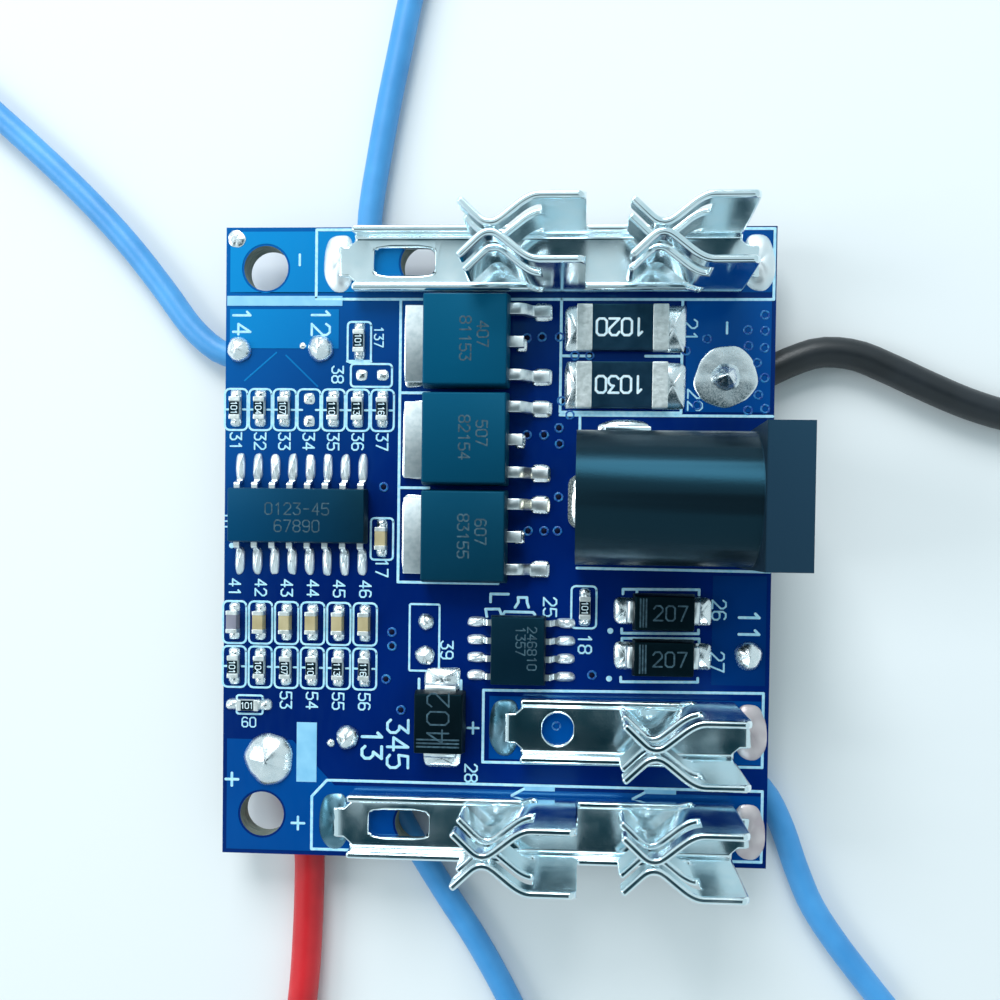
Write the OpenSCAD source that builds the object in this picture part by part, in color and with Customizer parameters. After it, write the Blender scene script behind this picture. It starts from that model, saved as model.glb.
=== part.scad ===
// Battery management board with spring terminals, a charging jack and soldered cell leads.
// Millimetres, +Z up. The part stands on the tips of its terminal legs and jack pins.

/* [Board] */
// Gap from the board's left edge to the transistors' tabs
left_field = 13.05; // [12.8:0.05:16]
// Gap from the transistors' outer leads to the rear of the jack
jack_gap = 2; // [1.6:0.1:4]
// Gap from the last transistor to the driver chip
driver_gap = 2.26; // [1.6:0.02:5]
// Gap from the driver chip to the charge terminal
charge_gap = 0.88; // [0.4:0.02:3]
// Gap between the charge and the positive terminal
terminal_gap = 2.55; // [2:0.05:5]
// Gap between the negative terminal and the first transistor
transistor_gap = 0.25; // [0.2:0.05:3]
// Thickness of the laminate
board_t = 1.6; // [1:0.1:2.4]
// Diameter of the two mounting holes
mount_hole_d = 3.2; // [2.2:0.1:3.6]
// Distance of the mounting holes from the two edges beside them
mount_inset = 2.9; // [2.4:0.1:4]
// Diameter of the board holes under the slots of the long terminals
access_hole_d = 3.2; // [2:0.1:3.6]
// Length of legs and pins below the board, on which the part stands
leg_drop = 2.4; // [2.3:0.1:4]
// Clearance around a leg or pin in its board slot
leg_clear = 0.15; // [0.05:0.05:0.25]

/* [Spring terminals] */
// Thickness of the terminal sheet
sheet_t = 0.5; // [0.4:0.05:0.6]
// Outer width of the terminal channel
channel_w = 4.5; // [4:0.1:5]
// Height of the channel's low walls
low_wall_h = 1.6; // [1.2:0.1:2]
// Outer radius of the channel's two lengthwise bends
channel_bend = 0.8; // [0.65:0.05:1]
// Length of the two output channels
output_channel_l = 27.15; // [26:0.5:28]
// Length of the charge channel
charge_channel_l = 14.95; // [14:0.5:15.5]
// Gap from the board's side edge to the channels' right end
channel_end_gap = 2.45; // [2.2:0.05:3]
// Gap from the board's front and back edges to the output channels
channel_edge_gap = 0.3; // [0.1:0.1:0.6]
// Length of a clip's tall wall
wall_l = 2.9; // [2:0.1:3.4]
// Height of a clip's tall wall and of its upper fingers
clip_h = 8.2; // [6.5:0.1:10]
// Distance between the two clips of an output terminal
clip_pitch = 10.85; // [10.5:0.05:11.5]
// Height of the underside of the lower fingers
finger_z = 2; // [1.8:0.1:2.4]
// Height of the upper fingers
upper_finger_h = 1.4; // [1:0.1:1.7]
// Height of the slot between the upper and the lower finger
finger_slot = 1.85; // [1.5:0.05:2.1]
// Reach from the tall wall to the pinch of the fingers
pinch_reach = 3.15; // [2.8:0.05:3.6]
// Reach from the tall wall to the tips of the fingers
finger_reach = 5.1; // [4.8:0.1:5.6]
// Distance of the flared tips from the terminal's middle
tip_spread = 1.8; // [1.4:0.1:2.2]
// Gap between opposite fingers at the pinch
pinch_gap = 0.08; // [0.04:0.02:0.4]
// Length over which each finger bend turns
finger_bend = 1; // [0.6:0.05:1.2]
// Width of the necks and legs at the channel's ends
neck_w = 2.2; // [1.6:0.1:2.6]
// Reach of the neck from the channel's end to the outer face of its leg
neck_reach = 1.45; // [1.2:0.05:1.8]
// Length of the rounded slot in an output channel's floor
slot_l = 4.3; // [3:0.1:5]
// Width of that slot
slot_w = 1.85; // [1:0.05:2.4]
// Distance of that slot's middle from the channel's left end
slot_from_end = 3.55; // [3:0.05:4]
// Diameter of the round hole in the charge channel's floor
floor_hole_d = 2.2; // [1.6:0.1:2.6]
// Distance of that hole from the channel's left end
floor_hole_from_end = 2.6; // [2:0.1:3.4]

/* [Charging jack] */
// Length of the jack from its rear to its mouth
jack_l = 14.1; // [13:0.1:15]
// Width of the jack's square flange
jack_w = 9; // [9:0.1:10]
// Height of the flange
jack_h = 11; // [10.8:0.1:12]
// Thickness of the flange along the jack
flange_t = 2.85; // [2:0.05:3.4]
// Radius of the round top of the barrel
barrel_r = 4.3; // [4:0.05:4.45]
// Height of the plug axis above the board
bore_z = 6.5; // [6.4:0.05:6.6]
// Diameter of the plug opening
bore_d = 6.2; // [5.7:0.1:6.6]
// Depth of the plug opening
bore_depth = 11.5; // [11.2:0.1:12]
// Diameter of the centre pin
pin_d = 2; // [1.6:0.05:2.5]
// How far the centre pin stops short of the mouth
pin_setback = 1; // [0.5:0.1:2]
// How far the mouth stands past the board's edge
jack_overhang = 0.4; // [0:0.1:1]
// Distance from the jack's middle back to the middle transistor
jack_step = 4.22; // [3.9:0.02:4.6]
// Thickness of the jack's contacts
contact_t = 0.4; // [0.3:0.05:0.5]
// Width of the jack's contact blades
contact_w = 3; // [2.2:0.1:3.4]

/* [Power transistors] */
// Distance between the transistors, front to back
transistor_pitch = 6.78; // [6.7:0.02:7]
// Length of a transistor body, from tab side to lead side
transistor_l = 6.1; // [5.8:0.1:6.2]
// Width of a transistor body
transistor_w = 6.5; // [6:0.1:6.6]
// Height of a transistor body
transistor_h = 2.3; // [2:0.1:2.6]
// Width of the drain tab
tab_w = 5.4; // [4.6:0.1:5.6]
// How far the drain tab stands out of the body
tab_out = 1.4; // [0.8:0.1:1.5]
// Thickness of the tab and the leads
tab_t = 0.5; // [0.4:0.05:0.6]
// Distance of the outer leads from the middle lead
lead_pitch = 2.28; // [2:0.02:2.4]
// How far the outer leads reach from the body
lead_out = 2.75; // [2.2:0.05:2.9]

/* [Chips with gull-wing leads] */
// Distance between neighbouring leads
so_pitch = 1.27; // [1:0.01:1.27]
// Width of the chip bodies
so_body_w = 3.9; // [3.6:0.1:4.2]
// Length of the control chip's body
control_l = 9.9; // [9.5:0.1:10.2]
// Length of the driver chip's body
driver_l = 4.9; // [4.6:0.1:5.2]
// Height of the chip bodies
so_h = 1.5; // [1.2:0.1:1.8]
// Span across the lead tips
so_span = 6; // [5.8:0.1:6.4]
// Width of one lead
so_lead_w = 0.42; // [0.3:0.01:0.5]
// Thickness of one lead
so_lead_t = 0.2; // [0.15:0.01:0.25]

/* [Diodes] */
// Length, width and height of the large diode's body
large_diode = [4.4, 3.6, 2.2];
// Length, width and height of a small diode's body
small_diode = [4.3, 2.6, 2.1];
// Width of the large diode's terminals
large_terminal_w = 2.2; // [1.8:0.1:2.6]
// Width of a small diode's terminals
small_terminal_w = 1.5; // [1.2:0.1:1.8]
// Thickness of the diodes' terminals
diode_terminal_t = 0.25; // [0.15:0.05:0.3]
// Distance between the two small diodes
small_diode_pitch = 3.17; // [3:0.01:3.4]

/* [Chip resistors and capacitors] */
// Length of a small chip
chip_l = 1.6; // [1.4:0.05:1.8]
// Width of a small chip
chip_w = 0.8; // [0.7:0.05:0.95]
// Height of a small chip
chip_h = 0.5; // [0.4:0.05:0.6]
// Length of the metal caps on a small chip
cap_l = 0.32; // [0.2:0.02:0.4]
// Height of a chip capacitor
capacitor_h = 0.8; // [0.6:0.05:0.9]
// Distance between chips in the upper row
upper_pitch = 1.767; // [1.7:0.01:1.8]
// Distance between chips in the two lower rows
lower_pitch = 1.9; // [1.8:0.01:1.95]
// Length of a shunt resistor
shunt_l = 6.4; // [6:0.1:6.6]
// Width of a shunt resistor
shunt_w = 3.25; // [3:0.05:3.4]
// Height of a shunt resistor
shunt_h = 0.65; // [0.5:0.05:0.8]
// Length of the metal caps on a shunt resistor
shunt_cap_l = 1.1; // [0.8:0.05:1.3]
// Distance between the two shunt resistors
shunt_pitch = 4; // [3.7:0.05:4.2]

/* [Leads] */
// Diameter of a cell lead over its insulation
cell_lead_d = 1.8; // [1.6:0.05:2]
// Diameter of a power lead over its insulation
power_lead_d = 2.2; // [2:0.05:2.25]
// Diameter of a cell lead's conductor
cell_core_d = 0.9; // [0.7:0.05:1]
// Diameter of a power lead's conductor
power_core_d = 1.2; // [1:0.05:1.3]
// Length of the stripped, tinned tip of a lead
tip_l = 3; // [2:0.1:4]
// Clearance around a lead's core in the board
core_clear = 0.1; // [0.05:0.05:0.2]

/* [Solder] */
// Width of the solder pad around a terminal leg
pad_w = 2.25; // [2:0.05:2.3]
// Length of that pad
pad_l = 3.95; // [3.4:0.05:4.4]
// Thickness of the solder on a pad
solder_t = 0.2; // [0.1:0.05:0.3]
// Height of the solder around the neck
solder_h = 0.45; // [0.35:0.05:0.5]
// Width of the collar around a leg below the board
collar = 0.25; // [0.15:0.05:0.3]
// Height of the collar below the board
collar_h = 0.6; // [0.3:0.1:1]

/* [Hidden] */

// Smoothness of round holes, domes and the barrel.
$fn = 48;
// A cut runs this far past the face that it opens.
cut = 1;
// Sides of a lead's round section.
lead_sides = 8;
// Steps along each bend of a folded sheet or lead.
bend_steps = 6;
// Taper of a moulded body's sides from the vertical, in degrees.
draft = 7;

board_top = leg_drop + board_t;
board_w = left_field + tab_out + transistor_l + lead_out + jack_gap + jack_l - jack_overhang;
board_h = 2 * channel_edge_gap + 3 * channel_w + transistor_gap + 2 * transistor_pitch
    + transistor_w + driver_gap + driver_l + charge_gap + terminal_gap;
left = -board_w / 2;
right = board_w / 2;
back = board_h / 2;
front = -board_h / 2;
channel_right = right - channel_end_gap;
output_y = back - channel_edge_gap - channel_w / 2;
charge_y = terminal_gap + channel_w - output_y;
mount_x = left + mount_inset;
mount_y = back - mount_inset;
upper_finger_z = clip_h - upper_finger_h;
leg_x = neck_reach - sheet_t / 2;
transistor_x = left + left_field + tab_out;
transistor_y = output_y - channel_w / 2 - transistor_gap - transistor_w / 2 - transistor_pitch;
jack_rear = right + jack_overhang - jack_l;
jack_y = transistor_y - jack_step;
barrel_l = jack_l - flange_t;
bore_rear = jack_l - bore_depth;
sleeve_x = 6.2;
switch_x = 3.3;
switch_top = bore_z - 1;
row_x = left + 0.8;
upper_row_y = back - 12.9;
capacitor_row_y = front + 16.8;
lower_row_y = front + 13.55;
shunt_place = [jack_rear + shunt_l / 2 - 0.15, transistor_y + transistor_pitch - 0.85];
control_place = [left + 5.6, back - 20.55];
driver_place = [left + 21.36, charge_y + channel_w / 2 + charge_gap + driver_l / 2];
large_diode_place = [left + 15.94, charge_y + 0.5];
small_diode_place = [right - 7.55, charge_y + 6.86];
sensing_place = [left + 9.7, back - 8.1];
gate_place = [jack_rear + 0.7, jack_y - 7.5];
link_place = [left + 1.9, front + 10.8];
supply_place = [left + 11.45, back - 22.1];
thermistor_places = [[left + 14.7, charge_y + 7.4], [left + 14.65, charge_y + 5]];
thermistor_joint_r = [0.55, 0.7];
thermistor_hole_d = 0.8;
lead_exit_z = 1;

// Each route starts at the lead's hole in the board; the insulation starts at its second point.
cell_z = cell_lead_d / 2;
power_z = power_lead_d / 2;
cell_route_1 = [
    [17.8, -7.5], [17, -8.2], [15.9, -10], [15.5, -12.4], [16.3, -14.7], [18.1, -16.3],
    [19.9, -17.9], [21.2, -20.4], [22.2, -23.2], [23.4, -26], [25.1, -28.6], [27.2, -31.3],
    [29.4, -34]
];
cell_route_2 = [
    [-12.8, 13.9], [-12.2, 14.6], [-11, 16.2], [-10.1, 18.4], [-9.9, 21], [-9.8, 24.5],
    [-9.2, 28.5], [-8.5, 32.5], [-7.7, 36.5], [-7, 40], [-6.1, 44]
];
cell_route_3 = [
    [-10.6, -13.9], [-10.1, -14.8], [-9, -16.8], [-7.6, -19.4], [-6.2, -21.9], [-4.9, -24],
    [-3.2, -26.6], [-1.5, -29.1], [0.4, -32.3], [2.1, -35.6], [3.5, -39], [4.4, -42]
];
cell_route_4 = [
    [-18.7, 13.8], [-19.6, 13.8], [-21.2, 14.3], [-23.2, 16], [-25.4, 18.9], [-27.9, 22],
    [-30.6, 24.9], [-33.5, 27.7], [-36.5, 30.4], [-39.5, 33], [-41.7, 34.9]
];
positive_route = [
    [-16.3, -15.6], [-15.8, -16.5], [-14.9, -18.4], [-14.2, -20.8], [-13.9, -23.4], [-13.9, -26.4],
    [-14, -29.5], [-14.2, -33], [-14.6, -36.5], [-15.2, -40], [-16.2, -43.4], [-17.4, -46]
];
negative_route = [
    [15.9, 12], [16.9, 12.2], [18.9, 12.6], [21.1, 13.6], [23.3, 14.3], [25.8, 14.1],
    [28.3, 13.1], [30.9, 11.9], [34, 10.6], [37.2, 9.7], [40.6, 9.4], [44, 9.7], [46.3, 10.2]
];
cell_routes = [cell_route_1, cell_route_2, cell_route_3, cell_route_4];
power_routes = [positive_route, negative_route];
cell_joint_r = [1, 0.92, 0.82, 0.85];
power_joint_r = [1.85, 1.06];
negative_ring_r = 2.2;

// ---- shared shapes ----

// Moves a shape from board coordinates (middle of the board's upper face) to the part's frame.
module on_board() {
    translate([-jack_overhang / 2, 0, board_top]) children();
}

function unit(v) = v / norm(v);

// Points of an arc about c, from angle a0 to a1.
function arc(c, r, a0, a1) =
    [for (i = [0:bend_steps]) let (a = a0 + (a1 - a0) * i / bend_steps) c + r * [cos(a), sin(a)]];

// Points of a smooth bend at b, between the straight runs to a and to c.
function bend(a, b, c, reach) =
    let (p = b + unit(a - b) * reach, q = b + unit(c - b) * reach)
    [for (i = [0:bend_steps]) let (s = i / bend_steps)
        (1 - s) * (1 - s) * p + 2 * s * (1 - s) * b + s * s * q];

// A path whose inner corners are bent smoothly.
function bent(path, reach) = [
    path[0],
    for (i = [1:len(path) - 2]) each bend(path[i - 1], path[i], path[i + 1], reach),
    path[len(path) - 1]
];

function tangent(path, i) =
    unit(path[min(i + 1, len(path) - 1)] - path[max(i - 1, 0)]);

// One edge of a ribbon that follows a path; d is the distance to the left of it.
function beside(path, d) =
    [for (i = [0:len(path) - 1]) let (t = tangent(path, i)) path[i] + d * [-t[1], t[0]]];

function reversed(list) = [for (i = [len(list) - 1:-1:0]) list[i]];

// Flat ribbon of thickness t along a path.
module ribbon(path, t) {
    polygon(concat(beside(path, t / 2), reversed(beside(path, -t / 2))));
}

// Extrudes a shape drawn in X and Z along Y, centred.
module along_y(w) {
    rotate([90, 0, 0]) linear_extrude(w, center = true) children();
}

// Extrudes a shape drawn in Y and Z along X.
module along_x(l) {
    rotate([90, 0, 90]) linear_extrude(l) children();
}

// Flat shape with two round ends along Y.
module stadium(w, l) {
    square([w, l - w], center = true);
    for (side = [-1, 1]) translate([0, side * (l - w) / 2]) circle(d = w);
}

// Side profile of a moulded body: widest at the parting height.
function moulded_profile(l, h, parting) =
    let (low = parting * tan(draft), high = (h - parting) * tan(draft))
    [[-l / 2 + low, 0], [l / 2 - low, 0], [l / 2, parting],
     [l / 2 - high, h], [-l / 2 + high, h], [-l / 2, parting]];

module moulded_body(l, w, h, parting) {
    intersection() {
        along_y(w) polygon(moulded_profile(l, h, parting));
        translate([-l / 2, 0, 0]) along_x(l) polygon(moulded_profile(w, h, parting));
    }
}

// Solder dome around a round core.
module dome(r, h, core_d) {
    difference() {
        rotate_extrude()
            polygon(concat([[0, 0]], [for (i = [0:8]) [r * cos(i * 90 / 8), h * sin(i * 90 / 8)]]));
        translate([0, 0, -cut]) cylinder(d = core_d, h = cut + joint_core_h);
    }
}
joint_core_h = 0.5;

// ---- board ----

module leg_slots(y, l) {
    for (x = [channel_right - l - leg_x, channel_right + leg_x]) translate([x, y])
        square([sheet_t + 2 * leg_clear, neck_w + 2 * leg_clear], center = true);
}

module jack_slots() {
    translate([jack_rear, jack_y]) {
        translate([contact_t / 2, 0])
            square([contact_t + 2 * leg_clear, contact_w + 2 * leg_clear], center = true);
        translate([sleeve_x, 0])
            square([contact_t + 2 * leg_clear, contact_w + 2 * leg_clear], center = true);
        translate([switch_x, barrel_r + contact_t / 2])
            square([contact_w + 2 * leg_clear, contact_t + 2 * leg_clear], center = true);
    }
}

module circuit_board() {
    color("mediumblue") difference() {
        on_board() translate([0, 0, -board_t]) difference() {
            translate([-board_w / 2, -board_h / 2, 0]) cube([board_w, board_h, board_t]);
            for (side = [-1, 1]) translate([mount_x, side * mount_y, -cut])
                cylinder(d = mount_hole_d, h = board_t + 2 * cut);
            for (side = [-1, 1]) translate([access_x, side * output_y, -cut])
                cylinder(d = access_hole_d, h = board_t + 2 * cut);
            for (place = thermistor_places) translate([place[0], place[1], -cut])
                cylinder(d = thermistor_hole_d, h = board_t + 2 * cut);
            translate([0, 0, -cut]) linear_extrude(board_t + 2 * cut) {
                leg_slots(output_y, output_channel_l);
                leg_slots(-output_y, output_channel_l);
                leg_slots(charge_y, charge_channel_l);
                jack_slots();
            }
        }
        for (route = cell_routes) translate([route[0][0], route[0][1], 0])
            cylinder(d = cell_core_d + 2 * core_clear, h = board_top + cut);
        for (route = power_routes) translate([route[0][0], route[0][1], 0])
            cylinder(d = power_core_d + 2 * core_clear, h = board_top + cut);
    }
}
// The access holes lie towards the right-hand ends of the slots above them.
access_x = channel_right - output_channel_l + slot_from_end + slot_l * 0.29;

// ---- spring terminals ----

// Section of the channel: floor, two bends and two low walls.
function channel_section() =
    let (o = channel_w / 2, r = channel_bend, i = r - sheet_t)
    concat(
        [[-o, low_wall_h]], arc([-o + r, r], r, 180, 270), arc([o - r, r], r, 270, 360),
        [[o, low_wall_h], [o - sheet_t, low_wall_h]],
        arc([o - r, r], i, 360, 270), arc([-o + r, r], i, 270, 180), [[-o + sheet_t, low_wall_h]]
    );

// Notch in both low walls beside a clip, with a sloping end.
module wall_notch() {
    slope = low_wall_h - channel_bend - notch_w / 2;
    along_y(channel_w + 2 * cut) polygon([
        [-notch_w - slope - cut, low_wall_h + cut], [-notch_w, low_wall_h - slope],
        [-notch_w, channel_bend], [0, channel_bend], [0, low_wall_h + cut]
    ]);
}
notch_w = 0.35;

// Path of a finger seen from above, from the tall wall to its flared tip.
function finger_path() =
    let (
        y = (channel_w - sheet_t) / 2,
        down = y / (pinch_reach - wall_run),
        up = tip_spread / (finger_reach - pinch_reach),
        s1 = sin(atan(down)),
        s2 = sin(atan(up)),
        vertex = (sheet_t + pinch_gap) / 2 - finger_bend * s1 * s2 / (s1 + s2)
    )
    bent([[wall_l, y], [-wall_run, y], [-pinch_reach, vertex], [-finger_reach, tip_spread]],
         finger_bend);
wall_run = 0.6;

// Fingers of one clip; their roots run inside the tall walls up to its rounded corner.
module fingers(z0, z1) {
    difference() {
        for (side = [0, 1]) mirror([0, side, 0]) translate([0, 0, z0])
            linear_extrude(z1 - z0) ribbon(finger_path(), sheet_t);
        translate([sheet_t, -channel_w, 0]) cube([wall_l, 2 * channel_w, 2 * clip_h]);
    }
}

// Tall wall on each side of a clip, with one rounded upper corner.
module tall_walls() {
    r = sheet_t;
    for (side = [-1, 1]) translate([0, side * (channel_w - sheet_t) / 2, 0])
        along_y(sheet_t) polygon(concat(
            [[0, channel_bend], [wall_l, channel_bend]],
            arc([wall_l - r, clip_h - r], r, 0, 90),
            [[0, clip_h]]
        ));
}

// A clip whose tall wall starts at x = 0.
module clip() {
    tall_walls();
    fingers(finger_z, upper_finger_z - finger_slot);
    fingers(upper_finger_z, clip_h);
}

// Neck with its leg, bent down through the board, at a channel end at x = 0.
module neck_and_leg() {
    r = sheet_t + bend_inner;
    c = [neck_reach - r, sheet_t - r];
    along_y(neck_w) polygon(concat(
        [[0, 0], [0, sheet_t]],
        arc(c, r, 90, 0),
        [[neck_reach, -board_t - leg_drop], [neck_reach - sheet_t, -board_t - leg_drop]],
        arc(c, bend_inner, 0, 90)
    ));
    linear_extrude(sheet_t) polygon([
        [0, -neck_w / 2 - shoulder], [shoulder, -neck_w / 2],
        [shoulder, neck_w / 2], [0, neck_w / 2 + shoulder]
    ]);
}
bend_inner = 0.15;
shoulder = 0.4;

module terminal_ends(l) {
    translate([channel_right, 0, 0]) neck_and_leg();
    translate([channel_right - l, 0, 0]) mirror([1, 0, 0]) neck_and_leg();
}

module spring_terminal(l, clips) {
    difference() {
        translate([channel_right - l, 0, 0]) along_x(l) polygon(channel_section());
        for (i = [0:clips - 1]) translate([channel_right - wall_l - i * clip_pitch, 0, 0])
            wall_notch();
        translate([channel_right - l, 0, -cut]) children();
    }
    for (i = [0:clips - 1]) translate([channel_right - wall_l - i * clip_pitch, 0, 0]) clip();
    terminal_ends(l);
}

// Rounded slot in the floor of an output channel.
module floor_slot() {
    r = slot_w * 0.32;
    translate([slot_from_end, 0, 0]) linear_extrude(sheet_t + 2 * cut) {
        square([slot_l, slot_w - 2 * r], center = true);
        square([slot_l - 2 * r, slot_w], center = true);
        for (x = [-1, 1], y = [-1, 1])
            translate([x * (slot_l / 2 - r), y * (slot_w / 2 - r)]) circle(r = r, $fn = 24);
    }
}

module negative_terminal() {
    color("silver") on_board() translate([0, output_y, 0])
        spring_terminal(output_channel_l, 2) floor_slot();
}

module positive_terminal() {
    color("silver") on_board() translate([0, -output_y, 0])
        spring_terminal(output_channel_l, 2) floor_slot();
}

module charge_terminal() {
    color("silver") on_board() translate([0, charge_y, 0]) spring_terminal(charge_channel_l, 1)
        translate([floor_hole_from_end, 0, 0]) cylinder(d = floor_hole_d, h = sheet_t + 2 * cut);
}

// Solder on the pads above the board and collars below it.
module terminal_solder(y, l) {
    color("gainsboro") on_board() translate([0, y, 0]) difference() {
        for (x = [channel_right - l - leg_x, channel_right + leg_x]) translate([x, 0, 0]) {
            linear_extrude(solder_t) stadium(pad_w, pad_l);
            linear_extrude(solder_h) stadium(pad_w - 2 * collar, neck_w + 4 * collar);
            translate([0, 0, -board_t - collar_h]) linear_extrude(collar_h)
                stadium(sheet_t + 2 * collar, neck_w + 2 * collar);
        }
        terminal_ends(l);
        translate([channel_right - l, -channel_w / 2, 0]) cube([l, channel_w, clip_h]);
    }
}

// ---- charging jack ----

module jack_frame() {
    on_board() translate([jack_rear, jack_y, 0]) children();
}

module jack_bore(d, x0, x1) {
    translate([x0, 0, bore_z]) rotate([0, 90, 0]) cylinder(d = d, h = x1 - x0);
}

// Centre pin with the blade behind the housing.
module centre_pin_shape() {
    jack_bore(pin_d, 0, jack_l - pin_setback);
    translate([0, -contact_w / 2, -board_t - leg_drop])
        cube([contact_t, contact_w, board_t + leg_drop + bore_z + pin_d / 2]);
}

// Leaf under the plug, with a blade down through the housing's floor.
module sleeve_contact_shape() {
    leaf_z = bore_z - bore_d / 2 - contact_t / 2;
    translate([sleeve_x - contact_t / 2, -contact_w / 2, -board_t - leg_drop])
        cube([contact_t, contact_w, board_t + leg_drop + leaf_z + contact_t]);
    translate([sleeve_x - contact_t / 2, -contact_w / 2, leaf_z])
        cube([barrel_l - sleeve_x, contact_w, contact_t]);
}

// Strip against the housing's side, with a tab that reaches in to the plug.
module switch_contact_shape() {
    translate([switch_x - contact_w / 2, barrel_r, -board_t - leg_drop])
        cube([contact_w, contact_t, board_t + leg_drop + switch_top]);
    translate([switch_x - contact_w / 2 + contact_t, bore_d / 2 - 2 * contact_t,
               switch_top - contact_w / 2])
        cube([contact_w - 2 * contact_t, barrel_r - bore_d / 2 + 3 * contact_t, contact_w / 2]);
}

module jack_housing() {
    chamfer = contact_t;
    color([0.07, 0.07, 0.08]) jack_frame() difference() {
        union() {
            translate([barrel_l, -jack_w / 2, 0]) cube([flange_t, jack_w, jack_h]);
            jack_bore(2 * barrel_r, 0, barrel_l);
            translate([0, -barrel_r, 0]) cube([barrel_l, 2 * barrel_r, bore_z]);
        }
        jack_bore(bore_d, bore_rear, jack_l + cut);
        translate([jack_l, 0, bore_z]) rotate([0, 90, 0]) rotate_extrude()
            polygon([[0, -chamfer], [bore_d / 2, -chamfer], [bore_d / 2 + chamfer, 0], [0, 0]]);
        centre_pin_shape();
        sleeve_contact_shape();
        switch_contact_shape();
    }
}

module jack_centre_pin() {
    color("gold") jack_frame() centre_pin_shape();
}

module jack_sleeve_contact() {
    color("silver") jack_frame() sleeve_contact_shape();
}

module jack_switch_contact() {
    color("silver") jack_frame() switch_contact_shape();
}

// Pads of solder around the jack's three blades, seen only outside the housing.
module jack_solder() {
    color("gainsboro") jack_frame() difference() {
        union() {
            for (place = [[contact_t / 2, 0, 0], [sleeve_x, 0, 0],
                          [switch_x, barrel_r + contact_t / 2, 90]])
                translate([place[0], place[1], 0]) rotate([0, 0, place[2]]) {
                    linear_extrude(solder_t) stadium(jack_pad_w, contact_w + jack_pad_w / 2);
                    translate([0, 0, -board_t - collar_h]) linear_extrude(collar_h)
                        stadium(jack_pad_w, contact_w + jack_pad_w / 2);
                }
        }
        translate([0, -barrel_r, 0]) cube([barrel_l, 2 * barrel_r, bore_z]);
        centre_pin_shape();
        sleeve_contact_shape();
        switch_contact_shape();
    }
}
jack_pad_w = 1.6;

// ---- power transistors ----

// Frame of transistor n (1 to 3, back to front): origin at the middle of the body's left side.
module transistor_frame(n) {
    on_board() translate([transistor_x, transistor_y + (2 - n) * transistor_pitch, 0]) children();
}

module transistor_tab_shape() {
    translate([-tab_out, -tab_w / 2, 0]) cube([tab_out + transistor_l * 0.8, tab_w, tab_t]);
}

// Two outer leads that reach the board, and the middle one, cut short.
module transistor_lead_shapes() {
    z = transistor_parting;
    seat = [transistor_l - tab_t, z];
    long_lead = bent([
        seat, [transistor_l + lead_out * 0.3, z], [transistor_l + lead_out * 0.52, tab_t / 2],
        [transistor_l + lead_out, tab_t / 2]
    ], tab_t / 2);
    for (side = [-1, 1]) translate([0, side * lead_pitch, 0])
        along_y(transistor_lead_w) ribbon(long_lead, tab_t);
    along_y(transistor_lead_w) ribbon([seat, [transistor_l + lead_out * 0.35, z]], tab_t);
}
transistor_lead_w = 0.78;
transistor_parting = 1.05;

module transistor_body(n) {
    color([0.1, 0.11, 0.13]) transistor_frame(n) difference() {
        translate([transistor_l / 2, 0, 0])
            moulded_body(transistor_l, transistor_w, transistor_h, transistor_parting);
        transistor_tab_shape();
        transistor_lead_shapes();
    }
}

module transistor_tab(n) {
    color("gainsboro") transistor_frame(n) transistor_tab_shape();
}

module transistor_leads(n) {
    color("gainsboro") transistor_frame(n) transistor_lead_shapes();
}

// ---- chips with gull-wing leads ----

module so_lead_shapes(per_side) {
    z = so_h / 2;
    path = bent([
        [so_body_w / 2 - so_lead_t, z], [so_body_w / 2 + (so_span - so_body_w) * 0.14, z],
        [so_body_w / 2 + (so_span - so_body_w) * 0.24, so_lead_t / 2], [so_span / 2, so_lead_t / 2]
    ], so_lead_t / 2);
    for (turn = [0, 180]) rotate([0, 0, turn])
        for (i = [0:per_side - 1]) translate([(i - (per_side - 1) / 2) * so_pitch, 0, 0])
            rotate([0, 0, 90]) along_y(so_lead_w) ribbon(path, so_lead_t);
}

module so_body(l, per_side) {
    difference() {
        translate([0, 0, so_standoff])
            moulded_body(l, so_body_w, so_h - so_standoff, so_h / 2 - so_standoff);
        so_lead_shapes(per_side);
    }
}
so_standoff = 0.1;

module control_frame() {
    on_board() translate([control_place[0], control_place[1], 0]) children();
}

module driver_frame() {
    on_board() translate([driver_place[0], driver_place[1], 0]) rotate([0, 0, 90]) children();
}

module control_chip_body() {
    color([0.12, 0.13, 0.15]) control_frame() so_body(control_l, 8);
}

module control_chip_leads() {
    color("gainsboro") control_frame() so_lead_shapes(8);
}

module driver_chip_body() {
    color([0.12, 0.13, 0.15]) driver_frame() so_body(driver_l, 4);
}

module driver_chip_leads() {
    color("gainsboro") driver_frame() so_lead_shapes(4);
}

// ---- diodes ----

// Strip terminals that leave a diode's ends, turn down and fold under its body.
module diode_terminal_shapes(size, w) {
    t = diode_terminal_t;
    z = size[2] / 2;
    out = size[0] / 2 + 1.2 * t;
    path = bent([
        [size[0] / 2 - t, z], [out, z], [out, t / 2], [size[0] / 2 - 4 * t, t / 2]
    ], t);
    for (turn = [0, 180]) rotate([0, 0, turn]) along_y(w) ribbon(path, t);
}

module diode_body(size, w) {
    difference() {
        translate([0, 0, diode_terminal_t])
            moulded_body(size[0], size[1], size[2] - diode_terminal_t,
                         size[2] / 2 - diode_terminal_t);
        diode_terminal_shapes(size, w);
    }
}

module large_diode_frame() {
    on_board() translate([large_diode_place[0], large_diode_place[1], 0]) rotate([0, 0, 90])
        children();
}

module small_diode_frame(n) {
    on_board() translate([small_diode_place[0],
                          small_diode_place[1] + (1.5 - n) * small_diode_pitch, 0]) children();
}

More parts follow.
